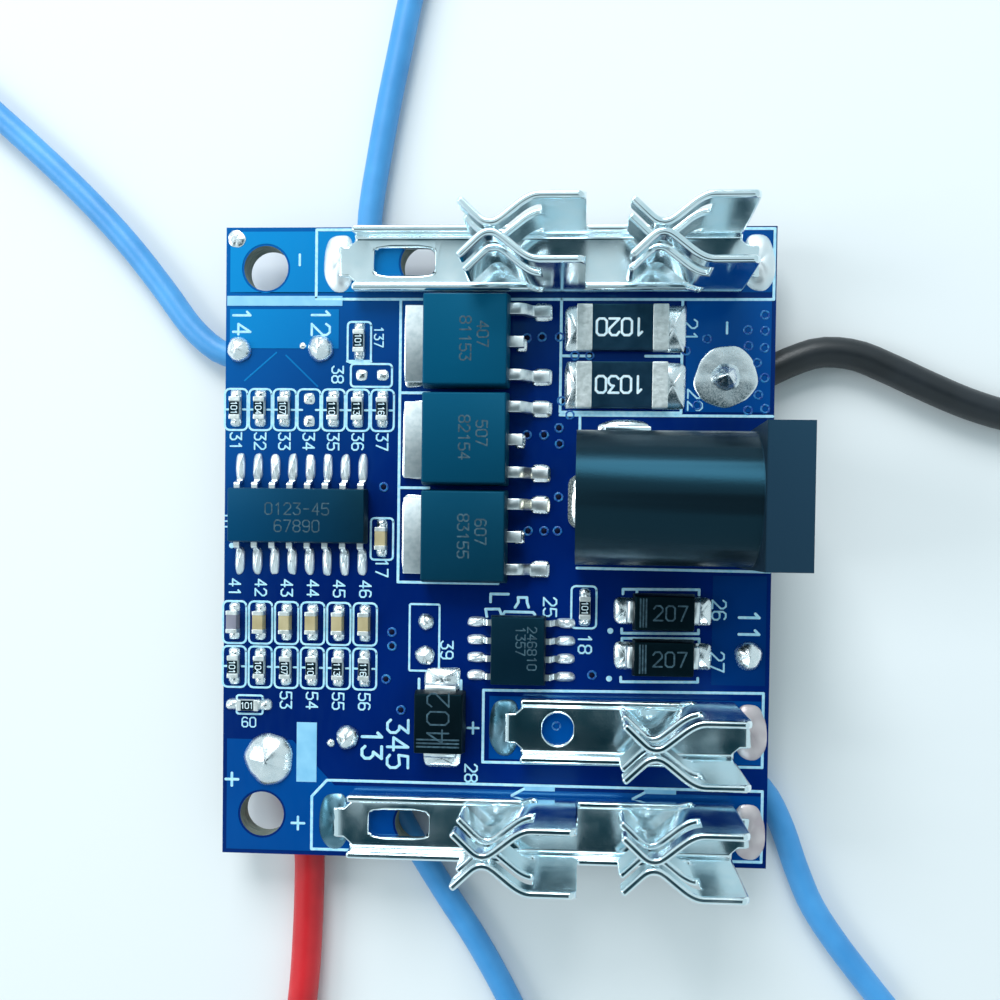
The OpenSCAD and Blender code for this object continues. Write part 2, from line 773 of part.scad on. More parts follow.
module large_diode_body() {
    color([0.1, 0.1, 0.12]) large_diode_frame() diode_body(large_diode, large_terminal_w);
}

module large_diode_terminals() {
    color("gainsboro") large_diode_frame() diode_terminal_shapes(large_diode, large_terminal_w);
}

module small_diode_body(n) {
    color([0.1, 0.1, 0.12]) small_diode_frame(n) diode_body(small_diode, small_terminal_w);
}

module small_diode_terminals(n) {
    color("gainsboro") small_diode_frame(n) diode_terminal_shapes(small_diode, small_terminal_w);
}

// ---- chip resistors and capacitors ----

// A chip that lies along Y, its middle slightly lower and narrower than its metal caps.
module chip(l, w, h, cap) {
    skin = h * 0.05;
    translate([-w / 2 + skin, -l / 2, 0]) cube([w - 2 * skin, l, h - skin]);
    for (side = [-1, 1]) translate([-w / 2, side * (l - cap) / 2 - cap / 2, 0])
        cube([w, cap, h]);
}

module shunt_resistor(n) {
    color([0.12, 0.15, 0.2]) on_board()
        translate([shunt_place[0], shunt_place[1] + (1.5 - n) * shunt_pitch, 0])
            rotate([0, 0, 90]) chip(shunt_l, shunt_w, shunt_h, shunt_cap_l);
}

module small_chip_at(place, turn, h) {
    on_board() translate([place[0], place[1], 0]) rotate([0, 0, turn])
        chip(chip_l, chip_w, h, cap_l);
}

// Seven places in the upper row; the fourth is left empty.
module upper_resistors() {
    color([0.15, 0.17, 0.2]) for (i = [0, 1, 2, 4, 5, 6])
        small_chip_at([row_x + i * upper_pitch, upper_row_y], 0, chip_h);
}

module lower_resistors() {
    color([0.15, 0.17, 0.2]) for (i = [0:5])
        small_chip_at([row_x + i * lower_pitch, lower_row_y], 0, chip_h);
}

module cell_capacitors() {
    color("tan") for (i = [0:5])
        small_chip_at([row_x + i * lower_pitch, capacitor_row_y], 0, capacitor_h);
}

module sensing_resistor() {
    color([0.15, 0.17, 0.2]) small_chip_at(sensing_place, 0, chip_h);
}

module gate_resistor() {
    color([0.15, 0.17, 0.2]) small_chip_at(gate_place, 0, chip_h);
}

module zero_ohm_link() {
    color([0.15, 0.17, 0.2]) small_chip_at(link_place, 90, chip_h);
}

module supply_capacitor() {
    color("tan") small_chip_at(supply_place, 0, capacitor_h);
}

// ---- leads and solder joints ----

module thermistor_solder_joints() {
    color("gainsboro") on_board() for (i = [0, 1])
        translate([thermistor_places[i][0], thermistor_places[i][1], 0]) {
            rotate_extrude() polygon(concat([[0, 0]],
                [for (a = [0:15:90]) thermistor_joint_r[i] * [cos(a), 0.6 * sin(a)]]));
            translate([0, 0, -board_t]) cylinder(d = thermistor_hole_d, h = board_t);
        }
}

module lead_solder_joints() {
    color("gainsboro") {
        for (i = [0:3]) translate([cell_routes[i][0][0], cell_routes[i][0][1], board_top])
            dome(cell_joint_r[i], cell_joint_r[i] * 0.8, cell_core_d);
        for (i = [0, 1]) translate([power_routes[i][0][0], power_routes[i][0][1], board_top])
            dome(power_joint_r[i], 1, power_core_d);
        translate([negative_route[0][0], negative_route[0][1], board_top]) difference() {
            cylinder(r = negative_ring_r, h = solder_t / 2);
            translate([0, 0, -cut]) cylinder(d = power_core_d, h = solder_t + 2 * cut);
        }
    }
}

// Stripped core: up through the board at the route's first point, and out to the insulation.
module lead_core(route, d, z) {
    run = route[1] - route[0];
    translate([route[0][0], route[0][1], z]) {
        cylinder(d = d, h = board_top + joint_core_h - z);
        sphere(d = d);
        rotate([0, 90, atan2(run[1], run[0])]) cylinder(d = d, h = norm(run));
    }
}

module cell_lead_cores() {
    color("peru") for (route = cell_routes) lead_core(route, cell_core_d, cell_z);
}

module power_lead_cores() {
    color("peru") for (route = power_routes) lead_core(route, power_core_d, power_z);
}

// Direction of a route at its point i, for i from 1.
function heading(route, i) = unit(route[min(i + 1, len(route) - 1)] - route[i - 1]);

// Insulated lead: a round tube swept along the route from its second point to its last.
module lead(route, d) {
    last = len(route) - 1;
    rings = [for (i = [1:last])
        let (
            h = i == 1 ? unit(route[1] - route[0]) :
                i == last ? unit(route[last] - route[last - 1]) : heading(route, i),
            side = [h[1], -h[0], 0],
            middle = [route[i][0], route[i][1], d / 2]
        )
        [for (k = [0:lead_sides - 1]) let (a = (k + 0.5) * 360 / lead_sides)
            middle + (d / 2) * (cos(a) * side + sin(a) * [0, 0, 1])]];
    n = lead_sides;
    polyhedron(
        points = [for (ring = rings) each ring],
        faces = concat(
            [[for (k = [0:n - 1]) k]],
            [for (i = [0:last - 2], k = [0:n - 1])
                [i * n + k, (i + 1) * n + k, (i + 1) * n + (k + 1) % n, i * n + (k + 1) % n]],
            [[for (k = [n - 1:-1:0]) (last - 1) * n + k]]
        )
    );
}

// Tinned end of a lead's conductor, in line with its last stretch.
module lead_tip(route, d, z) {
    end = route[len(route) - 1];
    run = end - route[len(route) - 2];
    color("gainsboro") translate([end[0], end[1], z]) rotate([0, 90, atan2(run[1], run[0])])
        cylinder(d = d, h = tip_l);
}

circuit_board();
negative_terminal();
positive_terminal();
charge_terminal();
terminal_solder(output_y, output_channel_l);  // negative_terminal_solder
terminal_solder(-output_y, output_channel_l);  // positive_terminal_solder
terminal_solder(charge_y, charge_channel_l);  // charge_terminal_solder
jack_housing();
jack_centre_pin();
jack_sleeve_contact();
jack_switch_contact();
jack_solder();
transistor_body(1);  // transistor_1_body
transistor_tab(1);  // transistor_1_tab
transistor_leads(1);  // transistor_1_leads
transistor_body(2);  // transistor_2_body
transistor_tab(2);  // transistor_2_tab
transistor_leads(2);  // transistor_2_leads
transistor_body(3);  // transistor_3_body
transistor_tab(3);  // transistor_3_tab
transistor_leads(3);  // transistor_3_leads
shunt_resistor(1);  // shunt_resistor_1
shunt_resistor(2);  // shunt_resistor_2
control_chip_body();
control_chip_leads();
driver_chip_body();
driver_chip_leads();
large_diode_body();
large_diode_terminals();
small_diode_body(1);  // small_diode_1_body
small_diode_terminals(1);  // small_diode_1_terminals
small_diode_body(2);  // small_diode_2_body
small_diode_terminals(2);  // small_diode_2_terminals
upper_resistors();
lower_resistors();
cell_capacitors();
sensing_resistor();
gate_resistor();
zero_ohm_link();
supply_capacitor();
thermistor_solder_joints();
lead_solder_joints();
cell_lead_cores();
power_lead_cores();
color("skyblue") lead(cell_route_1, cell_lead_d);  // cell_lead_1
color("skyblue") lead(cell_route_2, cell_lead_d);  // cell_lead_2
color("skyblue") lead(cell_route_3, cell_lead_d);  // cell_lead_3
color("skyblue") lead(cell_route_4, cell_lead_d);  // cell_lead_4
color("red") lead(positive_route, power_lead_d);  // positive_lead
color("black") lead(negative_route, power_lead_d);  // negative_lead
lead_tip(cell_route_1, cell_core_d, cell_z);  // cell_lead_1_tip
lead_tip(cell_route_2, cell_core_d, cell_z);  // cell_lead_2_tip
lead_tip(cell_route_3, cell_core_d, cell_z);  // cell_lead_3_tip
lead_tip(cell_route_4, cell_core_d, cell_z);  // cell_lead_4_tip
lead_tip(positive_route, power_core_d, power_z);  // positive_lead_tip
lead_tip(negative_route, power_core_d, power_z);  // negative_lead_tip
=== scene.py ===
"""Battery management board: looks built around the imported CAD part, in metres."""
import math

import bmesh
import bpy
import numpy as np
from mathutils import Euler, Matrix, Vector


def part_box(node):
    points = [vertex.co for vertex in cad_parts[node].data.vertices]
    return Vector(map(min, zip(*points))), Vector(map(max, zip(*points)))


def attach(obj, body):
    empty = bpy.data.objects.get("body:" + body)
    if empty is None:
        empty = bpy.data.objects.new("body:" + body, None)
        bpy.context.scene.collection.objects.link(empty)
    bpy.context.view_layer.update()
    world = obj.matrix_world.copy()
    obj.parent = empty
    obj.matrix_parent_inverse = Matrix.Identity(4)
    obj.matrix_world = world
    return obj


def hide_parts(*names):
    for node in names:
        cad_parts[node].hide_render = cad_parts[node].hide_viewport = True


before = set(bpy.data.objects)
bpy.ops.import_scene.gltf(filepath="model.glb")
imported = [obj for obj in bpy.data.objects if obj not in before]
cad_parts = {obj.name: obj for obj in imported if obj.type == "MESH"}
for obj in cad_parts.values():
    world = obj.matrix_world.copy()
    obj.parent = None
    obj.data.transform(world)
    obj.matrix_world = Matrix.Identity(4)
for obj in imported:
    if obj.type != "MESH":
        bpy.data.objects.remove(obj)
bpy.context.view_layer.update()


# ---- camera ----
# A camera looks straight down on the board from a hand's width above it, with its sensor shifted a
# little towards the board's back edge.
mm = 0.001
board_low, board_high = (np.array(corner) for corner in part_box("circuit_board"))
# Places below are in millimetres from here, the middle of the board's top face.
origin = np.array([*(board_low[:2] + board_high[:2]) / 2, board_high[2]])
camera_data = bpy.data.cameras.new("camera")
camera_data.sensor_width = 36
camera_data.lens = 35.28
camera_data.shift_x = -0.0319
camera_data.shift_y = 0.0601
camera_data.clip_start = 1 * mm
camera = bpy.data.objects.new("camera", camera_data)
camera.location = origin + np.array([6.285, 0.431, 69.389]) * mm
camera.rotation_euler = Euler([math.radians(a) for a in (-1.1303, 2.9746, 0.7657)])
bpy.context.scene.collection.objects.link(camera)
bpy.context.scene.camera = camera


# ---- leads ----
# Six soft leads in extruded insulation: four thin blue ones to the cells, a thicker red one and a
# thicker black one to the ends of the pack. Each comes from under the board, out of a bare core
# that is soldered in its hole, lies on the surface and ends in stripped, tinned strands.
def new_finish(name, colour, roughness, metallic=0.0):
    """Returns a material's node tree, its shader and the material, set to plain constants."""
    material = bpy.data.materials.new(name)
    material.use_nodes = True
    tree = material.node_tree
    shader = tree.nodes["Principled BSDF"]
    shader.inputs["Base Color"].default_value = (*colour, 1)
    shader.inputs["Roughness"].default_value = roughness
    shader.inputs["Metallic"].default_value = metallic
    return tree, shader, material


def noise(tree, scale, detail, stretch=(1, 1, 1)):
    """Noise on Object coordinates; scale is in features per metre, stretch squeezes it by axis."""
    place = tree.nodes.new("ShaderNodeTexCoord")
    mapping = tree.nodes.new("ShaderNodeMapping")
    mapping.inputs["Scale"].default_value = stretch
    texture = tree.nodes.new("ShaderNodeTexNoise")
    texture.inputs["Scale"].default_value = scale
    texture.inputs["Detail"].default_value = detail
    tree.links.new(place.outputs["Object"], mapping.inputs["Vector"])
    tree.links.new(mapping.outputs["Vector"], texture.inputs["Vector"])
    return texture.outputs["Fac"]


def ramp(tree, value, stops):
    """Colour ramp over a value; stops are (position, colour) pairs."""
    node = tree.nodes.new("ShaderNodeValToRGB")
    elements = node.color_ramp.elements
    while len(elements) < len(stops):
        elements.new(0.5)
    for element, (position, colour) in zip(elements, stops):
        element.position = position
        element.color = (*colour, 1)
    tree.links.new(value, node.inputs["Fac"])
    return node.outputs["Color"]


def spread(tree, value, low, high, span=(0.3, 0.7)):
    """Maps a value from a span, that of noise unless given, to the range low to high."""
    node = tree.nodes.new("ShaderNodeMapRange")
    node.inputs["From Min"].default_value, node.inputs["From Max"].default_value = span
    node.inputs["To Min"].default_value = low
    node.inputs["To Max"].default_value = high
    tree.links.new(value, node.inputs["Value"])
    return node.outputs["Result"]


def bump(tree, shader, value, depth, strength):
    """Bump of a depth in metres on a shader."""
    node = tree.nodes.new("ShaderNodeBump")
    node.inputs["Distance"].default_value = depth
    node.inputs["Strength"].default_value = strength
    tree.links.new(value, node.inputs["Height"])
    tree.links.new(node.outputs["Normal"], shader.inputs["Normal"])


def clouded_finish(name, dark, light, roughness, cloud, span=(0.3, 0.7), metallic=0.0, relief=None,
                   stretch=(1, 1, 1)):
    """Finish whose colour drifts from dark to light in clouds: cloud is (features per metre, detail),
    span is where in the noise the two colours lie, and relief is a bump's (depth, strength)."""
    tree, shader, material = new_finish(name, light, roughness, metallic)
    clouds = noise(tree, *cloud, stretch)
    tree.links.new(ramp(tree, clouds, [(span[0], dark), (span[1], light)]), shader.inputs["Base Color"])
    if relief:
        bump(tree, shader, clouds, *relief)
    return material


def grained(material, scale, detail, gloss=None, relief=None):
    """Adds fine grain to a finish and returns it: gloss is its least and greatest roughness, and
    relief is a bump's (depth, strength)."""
    tree = material.node_tree
    shader = tree.nodes["Principled BSDF"]
    grain = noise(tree, scale, detail)
    if gloss:
        tree.links.new(spread(tree, grain, *gloss), shader.inputs["Roughness"])
    if relief:
        bump(tree, shader, grain, *relief)
    return material


def insulation(name, dark, light, roughness):
    """Soft extruded insulation: faint clouds of colour, fine drag marks and a dull gloss."""
    return grained(clouded_finish(name, dark, light, roughness, (260, 3)), 9000, 4,
                   (roughness - 0.06, roughness + 0.08), (0.00002, 0.5))


def finish_node(node, material):
    """Gives a CAD node that stays in view its finish."""
    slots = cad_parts[node].data.materials
    slots.clear()
    slots.append(material)


def cleaned(mesh, smooth=None, whole_faces=False, closed=False):
    """Merges a mesh's points that fall together and turns its faces outwards. Where asked, it makes
    flat faces whole, closes open ends flat and sets the shading."""
    work = bmesh.new()
    work.from_mesh(mesh)
    bmesh.ops.remove_doubles(work, verts=work.verts, dist=1e-7)
    if whole_faces:
        bmesh.ops.dissolve_limit(work, angle_limit=math.radians(1), verts=work.verts, edges=work.edges)
    if closed:
        bmesh.ops.holes_fill(work, edges=[edge for edge in work.edges if edge.is_boundary])
    bmesh.ops.recalc_face_normals(work, faces=work.faces)
    work.to_mesh(mesh)
    work.free()
    if smooth is not None:
        mesh.polygons.foreach_set("use_smooth", np.full(len(mesh.polygons), smooth))
    return mesh


def surface_mesh(patches, wrap_u=False, smooth=True):
    """One mesh from n surfaces. patches[n, i, j] is the point at step i of the first parameter and
    step j of the second, in metres. The second closes on itself, and the first where it is asked."""
    n, nu, nv, _ = patches.shape
    index = np.arange(n * nu * nv).reshape(n, nu, nv)
    if wrap_u:
        index = np.concatenate([index, index[:, :1]], axis=1)
    index = np.concatenate([index, index[:, :, :1]], axis=2)
    quads = np.stack([index[:, :-1, :-1], index[:, 1:, :-1], index[:, 1:, 1:], index[:, :-1, 1:]], -1)
    mesh = bpy.data.meshes.new("surface")
    mesh.vertices.add(n * nu * nv)
    mesh.vertices.foreach_set("co", patches.reshape(-1).astype(np.float32))
    mesh.loops.add(quads.size)
    mesh.loops.foreach_set("vertex_index", quads.reshape(-1).astype(np.int32))
    mesh.polygons.add(quads.size // 4)
    mesh.polygons.foreach_set("loop_start", np.arange(0, quads.size, 4, dtype=np.int32))
    mesh.update(calc_edges=True)
    mesh.validate()
    return cleaned(mesh, smooth)


def add_piece(name, data, material, slot, *nodes):
    """Links a piece, gives it its finish and lets it ride on the board and stand for CAD nodes."""
    data.name = name
    data.materials.append(material)
    piece = bpy.data.objects.new(name, data)
    bpy.context.scene.collection.objects.link(piece)
    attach(piece, "root")
    for node in nodes:
        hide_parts(node)
    return piece


def smooth_route(points, count):
    """Catmull-Rom curve through the points, sampled at count even steps of its length:
    q(s) = (2 b + (c - a) s + (2 a - 5 b + 4 c - d) s^2 + (3 b - a - 3 c + d) s^3) / 2."""
    p = np.vstack([2 * points[0] - points[1], points, 2 * points[-1] - points[-2]])
    a, b, c, d = (p[k:len(p) - 3 + k, None, :] for k in range(4))
    s = np.linspace(0, 1, 20, endpoint=False)[None, :, None]
    curve = (2 * b + (c - a) * s + (2 * a - 5 * b + 4 * c - d) * s**2
             + (3 * b - a - 3 * c + d) * s**3) / 2
    curve = np.vstack([curve.reshape(-1, 3), points[-1]])
    gone = np.concatenate([[0], np.cumsum(np.linalg.norm(np.diff(curve, axis=0), axis=1))])
    even = np.linspace(0, gone[-1], count)
    return np.stack([np.interp(even, gone, curve[:, k]) for k in range(3)], axis=1)


def tinned_strands(end, heading, radius, length):
    """Twisted strands filled with tin: the radius is R (1 + 0.05 cos(7 (a - 4 s))) at angle a and
    share s of the length, and falls to nothing over a rounded end."""
    a = np.linspace(0, 2 * np.pi, 42, endpoint=False)[None, :]
    closing = np.linspace(0.3, 1, 5) * np.pi / 2
    s = np.concatenate([[0], np.linspace(0, 0.94, 26), 1 - 0.06 * (1 - np.sin(closing))])
    size = np.concatenate([[0], np.ones(26), np.cos(closing)])
    r = radius * size[:, None] * (1 + 0.05 * np.cos(7 * (a - 4 * s[:, None])))
    side = np.array([-heading[1], heading[0], 0])
    up = np.array([0, 0, 1.0])
    return (end + heading * (s * length)[:, None, None]
            + r[..., None] * (np.cos(a)[..., None] * side + np.sin(a)[..., None] * up))[None]


tinned_copper = clouded_finish("tinned_copper", (0.62, 0.56, 0.48), (0.82, 0.81, 0.8), 0.3, (4000, 3),
                               (0.35, 0.65), 1.0, (0.00004, 0.6))
insulations = {
    "blue_insulation": insulation("blue_insulation", (0.045, 0.27, 0.62), (0.075, 0.36, 0.76), 0.42),
    "red_insulation": insulation("red_insulation", (0.5, 0.006, 0.012), (0.68, 0.012, 0.02), 0.4),
    "black_insulation": insulation("black_insulation", (0.006, 0.008, 0.01), (0.014, 0.018, 0.024), 0.38)}
cell_lead_d = 1.8 * mm
power_lead_d = 2.2 * mm
core_d = {cell_lead_d: 0.9 * mm, power_lead_d: 1.2 * mm}
# Radius of the strands as a share of the core's width, and how far they reach out.
strand_share = 0.47
tip_length = 3 * mm
# Each route, in millimetres from the board's middle, starts where the insulation starts.
lead_routes = {
    "cell_lead_1": ("blue_insulation", cell_lead_d, 0.0307, [
        (17, -8.2), (15.9, -10), (15.5, -12.4), (16.3, -14.7), (18.1, -16.3), (19.9, -17.9),
        (21.2, -20.4), (22.2, -23.2), (23.4, -26), (25.1, -28.6), (27.2, -31.3), (29.4, -34)]),
    "cell_lead_2": ("blue_insulation", cell_lead_d, 0.0305, [
        (-12.2, 14.6), (-11, 16.2), (-10.1, 18.4), (-9.9, 21), (-9.8, 24.5), (-9.2, 28.5),
        (-8.5, 32.5), (-7.7, 36.5), (-7, 40), (-6.1, 44)]),
    "cell_lead_3": ("blue_insulation", cell_lead_d, 0.0310, [
        (-10.1, -14.8), (-9, -16.8), (-7.6, -19.4), (-6.2, -21.9), (-4.9, -24), (-3.2, -26.6),
        (-1.5, -29.1), (0.4, -32.3), (2.1, -35.6), (3.5, -39), (4.4, -42)]),
    "cell_lead_4": ("blue_insulation", cell_lead_d, 0.0309, [
        (-19.6, 13.8), (-21.2, 14.3), (-23.2, 16), (-25.4, 18.9), (-27.9, 22), (-30.6, 24.9),
        (-33.5, 27.7), (-36.5, 30.4), (-39.5, 33), (-41.7, 34.9)]),
    "positive_lead": ("red_insulation", power_lead_d, 0.0303, [
        (-15.8, -16.5), (-14.9, -18.4), (-14.2, -20.8), (-13.9, -23.4), (-13.9, -26.4), (-14, -29.5),
        (-14.2, -33), (-14.6, -36.5), (-15.2, -40), (-16.2, -43.4), (-17.4, -46)]),
    "negative_lead": ("black_insulation", power_lead_d, 0.0307, [
        (16.9, 12.2), (18.9, 12.6), (21.1, 13.6), (23.3, 14.3), (25.8, 14.1), (28.3, 13.1),
        (30.9, 11.9), (34, 10.6), (37.2, 9.7), (40.6, 9.4), (44, 9.7), (46.3, 10.2)]),
}
for lead_name, (lead_slot, lead_d, lead_length, lead_points) in lead_routes.items():
    flat = np.array(lead_points) * mm + origin[:2]
    route = smooth_route(np.column_stack([flat, np.full(len(flat), lead_d / 2)]), 36)
    curve = bpy.data.curves.new(lead_name + "_insulation", "CURVE")
    curve.dimensions = "3D"
    curve.bevel_depth = lead_d / 2
    curve.bevel_resolution = 8
    curve.use_fill_caps = True
    spline = curve.splines.new("POLY")
    spline.points.add(len(route) - 1)
    spline.points.foreach_set("co", np.column_stack([route, np.ones(len(route))]).reshape(-1))
    spline.use_smooth = True
    lead = add_piece(lead_name + "_insulation", curve, insulations[lead_slot], lead_slot, lead_name)
    heading = (route[-1] - route[-2]) / np.linalg.norm(route[-1] - route[-2])
    strand_radius = core_d[lead_d] * strand_share
    strands = surface_mesh(tinned_strands(route[-1], heading, strand_radius, tip_length))
    tip = add_piece(lead_name + "_strands", strands, tinned_copper, "tinned_copper", lead_name + "_tip")
finish_node("cell_lead_cores", tinned_copper)
finish_node("power_lead_cores", tinned_copper)


# ---- circuit board ----
# Glass-epoxy laminate 1.6 mm thick with a glossy blue solder mask on both faces, milled to size and
# drilled. Copper under the mask stands up by a hair and shows as a lighter blue.
def merged_copy(node):
    """Copy of a CAD node's mesh with its loose triangles joined and its flat faces made whole."""
    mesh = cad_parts[node].data.copy()
    mesh.materials.clear()
    return cleaned(mesh, whole_faces=True)


def along(tree, way, low, high, blend="LINEAR"):
    """Share, from 0 at low to 1 at high, in mm, that a point has gone along a direction (x, y)."""
    place = tree.nodes.new("ShaderNodeTexCoord")
    reach = tree.nodes.new("ShaderNodeVectorMath")
    reach.operation = "DOT_PRODUCT"
    reach.inputs[1].default_value = (*way, 0)
    share = tree.nodes.new("ShaderNodeMapRange")
    share.interpolation_type = blend
    share.inputs["From Min"].default_value = low * mm
    share.inputs["From Max"].default_value = high * mm
    tree.links.new(place.outputs["Object"], reach.inputs[0])
    tree.links.new(reach.outputs["Value"], share.inputs["Value"])
    return share.outputs["Result"]


def towards(tree, share, colour, other):
    """Blends a colour towards another by a share."""
    mix = tree.nodes.new("ShaderNodeMix")
    mix.data_type = "RGBA"
    mix.inputs["B"].default_value = (*other, 1)
    tree.links.new(share, mix.inputs["Factor"])
    tree.links.new(colour, mix.inputs["A"])
    return mix.outputs["Result"]


def tinted(material, level, tint=(1, 1, 1)):
    """Sets how strongly a finish's skin mirrors, and in which tint, and returns the finish."""
    shader = material.node_tree.nodes["Principled BSDF"]
    shader.inputs["Specular IOR Level"].default_value = level
    shader.inputs["Specular Tint"].default_value = (*tint, 1)
    return material


def mask_finish(name, dark, light, painted_haze_colour):
    """Glossy mask: clouds between two blues, painted lighter towards the board's back left corner as a
    painted reflection of the room's haze, with a faint weave of the glass cloth in its surface."""
    tree, shader, material = new_finish(name, light, 0.16)
    cloud = ramp(tree, noise(tree, 90, 3), [(0.3, dark), (0.7, light)])
    # Painted reflection: the share of the painted haze, growing towards the back left corner.
    lean = math.radians(48)
    painted_haze_share = along(tree, (-math.sin(lean), math.cos(lean)), 8, 30, "SMOOTHSTEP")
    tree.links.new(towards(tree, painted_haze_share, cloud, painted_haze_colour), shader.inputs["Base Color"])
    weave = noise(tree, 2500, 1, (1, 0.25, 1))
    tree.links.new(spread(tree, weave, 0.13, 0.22), shader.inputs["Roughness"])
    bump(tree, shader, weave, 0.00001, 0.35)
    return tinted(material, 0.4, (0.25, 0.75, 1))


mask = mask_finish("solder_mask", (0.0003, 0.010, 0.105), (0.0005, 0.018, 0.16), (0.0006, 0.10, 0.36))
mask_on_copper = mask_finish("mask_on_copper", (0.0004, 0.045, 0.23), (0.0006, 0.07, 0.3),
                             (0.004, 0.24, 0.58))
# A darker copy of the mask on copper: painted shade of the jack's shadow, for the field beside it.
mask_on_copper_in_painted_shade = mask_finish("mask_on_copper_in_painted_shade", (0.0004, 0.02, 0.11), (0.0006, 0.034, 0.18),
                                  (0.0008, 0.1, 0.36))
laminate = clouded_finish("laminate_edge", (0.1, 0.14, 0.13), (0.24, 0.27, 0.22), 0.75, (1500, 2),
                          (0.35, 0.65), 0.0, (0.00003, 0.6), (1, 1, 9))
board_mesh = merged_copy("circuit_board")
add_piece("board_laminate", board_mesh, mask, "solder_mask", "circuit_board")
board_mesh.materials.append(laminate)
facing = np.empty(len(board_mesh.polygons) * 3)
board_mesh.polygons.foreach_get("normal", facing)
board_mesh.polygons.foreach_set("material_index", (np.abs(facing[2::3]) < 0.9).astype(np.int32))


def on_board(flat, height):
    """Points in metres from flat places and heights above the board, both in mm."""
    flat = np.asarray(flat, float)
    height = np.broadcast_to(np.asarray(height, float)[..., None], (*flat.shape[:-1], 1))
    return np.concatenate([flat, height], -1) * mm + origin


pour_base = 0.002
pour_thickness = 0.03


def copper_pour(name, outline, holes=(), finish=mask_on_copper):
    """Flat field of copper under the mask: a straight-edged outline with round holes (x, y, radius),
    filled and drawn up by its thickness. A hole's rim is the circle around its middle."""
    turn = np.linspace(0, 2 * np.pi, 40, endpoint=False)
    loops = [np.array(outline, float)]
    loops += [np.column_stack([x + r * np.cos(turn), y + r * np.sin(turn)]) for x, y, r in holes]
    work = bmesh.new()
    edges = []
    for loop in loops:
        verts = [work.verts.new(p) for p in on_board(loop, pour_base)]
        edges += [work.edges.new((verts[k - 1], verts[k])) for k in range(len(verts))]
    bmesh.ops.triangle_fill(work, edges=edges, use_beauty=True, use_dissolve=True)
    drawn = bmesh.ops.extrude_face_region(work, geom=work.faces[:])["geom"]
    top = [part for part in drawn if isinstance(part, bmesh.types.BMVert)]
    bmesh.ops.translate(work, verts=top, vec=(0, 0, pour_thickness * mm))
    bmesh.ops.recalc_face_normals(work, faces=work.faces)
    mesh = bpy.data.meshes.new(name)
    work.to_mesh(mesh)
    work.free()
    add_piece(name, mesh, finish, "solder_mask")


# The copper fields end this far to either side of the board's middle.
field_x = 19.2
copper_pour("pour_output_negative", [(-field_x, 22.2), (-field_x, 17.9), (-8.2, 17.9), (field_x, 17.9),
                                     (field_x, 22.2)], [(-16.6, 19.6, 1.75), (-5.3, 19.95, 1.75)])
copper_pour("pour_cell_negative", [(13.3, 17.5), (13.3, 9.55), (field_x, 9.55), (field_x, 17.5)])
copper_pour("pour_cells", [(-field_x, 16.7), (-field_x, 13.9), (-11.3, 13.9), (-11.3, 16.7)])
copper_pour("pour_output_positive", [(-field_x, -14.2), (-field_x, -22.2), (field_x, -22.2),
                                     (field_x, -17.4), (-11.3, -17.4), (-14.4, -14.2)],
            [(-16.6, -19.6, 1.75), (-5.3, -19.95, 1.75)])
# The field beside the jack takes the darker copy of the mask: painted shade.
copper_pour("pour_charge", [(15.45, -1.9), (field_x, -1.9), (field_x, -9.6), (15.45, -9.6)], (),
            mask_on_copper_in_painted_shade)
copper_pour("pour_charge_plus", [(-0.2, -10.7), (field_x, -10.7), (field_x, -15.2), (-0.2, -15.2)])


def strokes(name, lines, width, height, finish, base=0.0, slot="solder_mask"):
    """Printed or etched lines. Each straight run is a flat-topped bar with round ends: a point lies
    at the nearer end of the run plus r w / 2 in direction a, with height falling to nothing at the
    rim. Lines are lists of points in mm from the board's middle; a width goes with every line."""
    start = np.concatenate([np.array(line, float)[:-1] for line in lines])
    end = np.concatenate([np.array(line, float)[1:] for line in lines])
    w = np.repeat(np.broadcast_to(width, len(lines)), [len(line) - 1 for line in lines])
    run = end - start
    heading = np.arctan2(run[:, 1], run[:, 0])
    a = np.linspace(-np.pi / 2, 3 * np.pi / 2, 12, endpoint=False) + np.pi / 12
    r = np.array([0, 0.75, 1, 1, 0])
    z = np.array([1, 1, 0.55, 0, 0])
    level = base + height * z[None, :] * (1 + 0.02 * (np.arange(len(w)) % 5))[:, None]
    middle = np.where((np.cos(a) > 0)[None, :, None], end[:, None, :], start[:, None, :])
    turned = heading[:, None] + a[None, :]
    ring = np.stack([np.cos(turned), np.sin(turned)], -1)
    share = np.where(r[None, :, None, None] > 0, 1.0, 0.0)
    centre = (start + end)[:, None, None, :] / 2
    flat = (share * middle[:, None] + (1 - share) * centre
            + (w / 2)[:, None, None, None] * r[None, :, None, None] * ring[:, None])
    add_piece(name, surface_mesh(on_board(flat, level[:, :, None]), smooth=False), finish, slot)


tracks = [[(-15.8, 13.6), (-18.1, 11.6)], [(-15.1, 13.4), (-12.8, 11.2)]]
strokes("tracks_under_mask", tracks, 0.12, 0.02, mask_on_copper)


# ---- printed legend ----
# White epoxy ink, screened on the mask and baked: frames round the parts with plain numbers beside
# them, and a few broad bars and dots.
def rounded_box_line(x0, y0, x1, y1, r=0.35):
    """Closed outline of a box with quarter circles of radius r at its corners."""
    turn = np.linspace(0, np.pi / 2, 4)
    corners = [(x1 - r, y1 - r, 0), (x0 + r, y1 - r, 1), (x0 + r, y0 + r, 2), (x1 - r, y0 + r, 3)]
    points = [(x + r * np.cos(turn + k * np.pi / 2), y + r * np.sin(turn + k * np.pi / 2))
              for x, y, k in corners]
    loop = np.concatenate([np.column_stack(p) for p in points])
    return np.vstack([loop, loop[:1]])


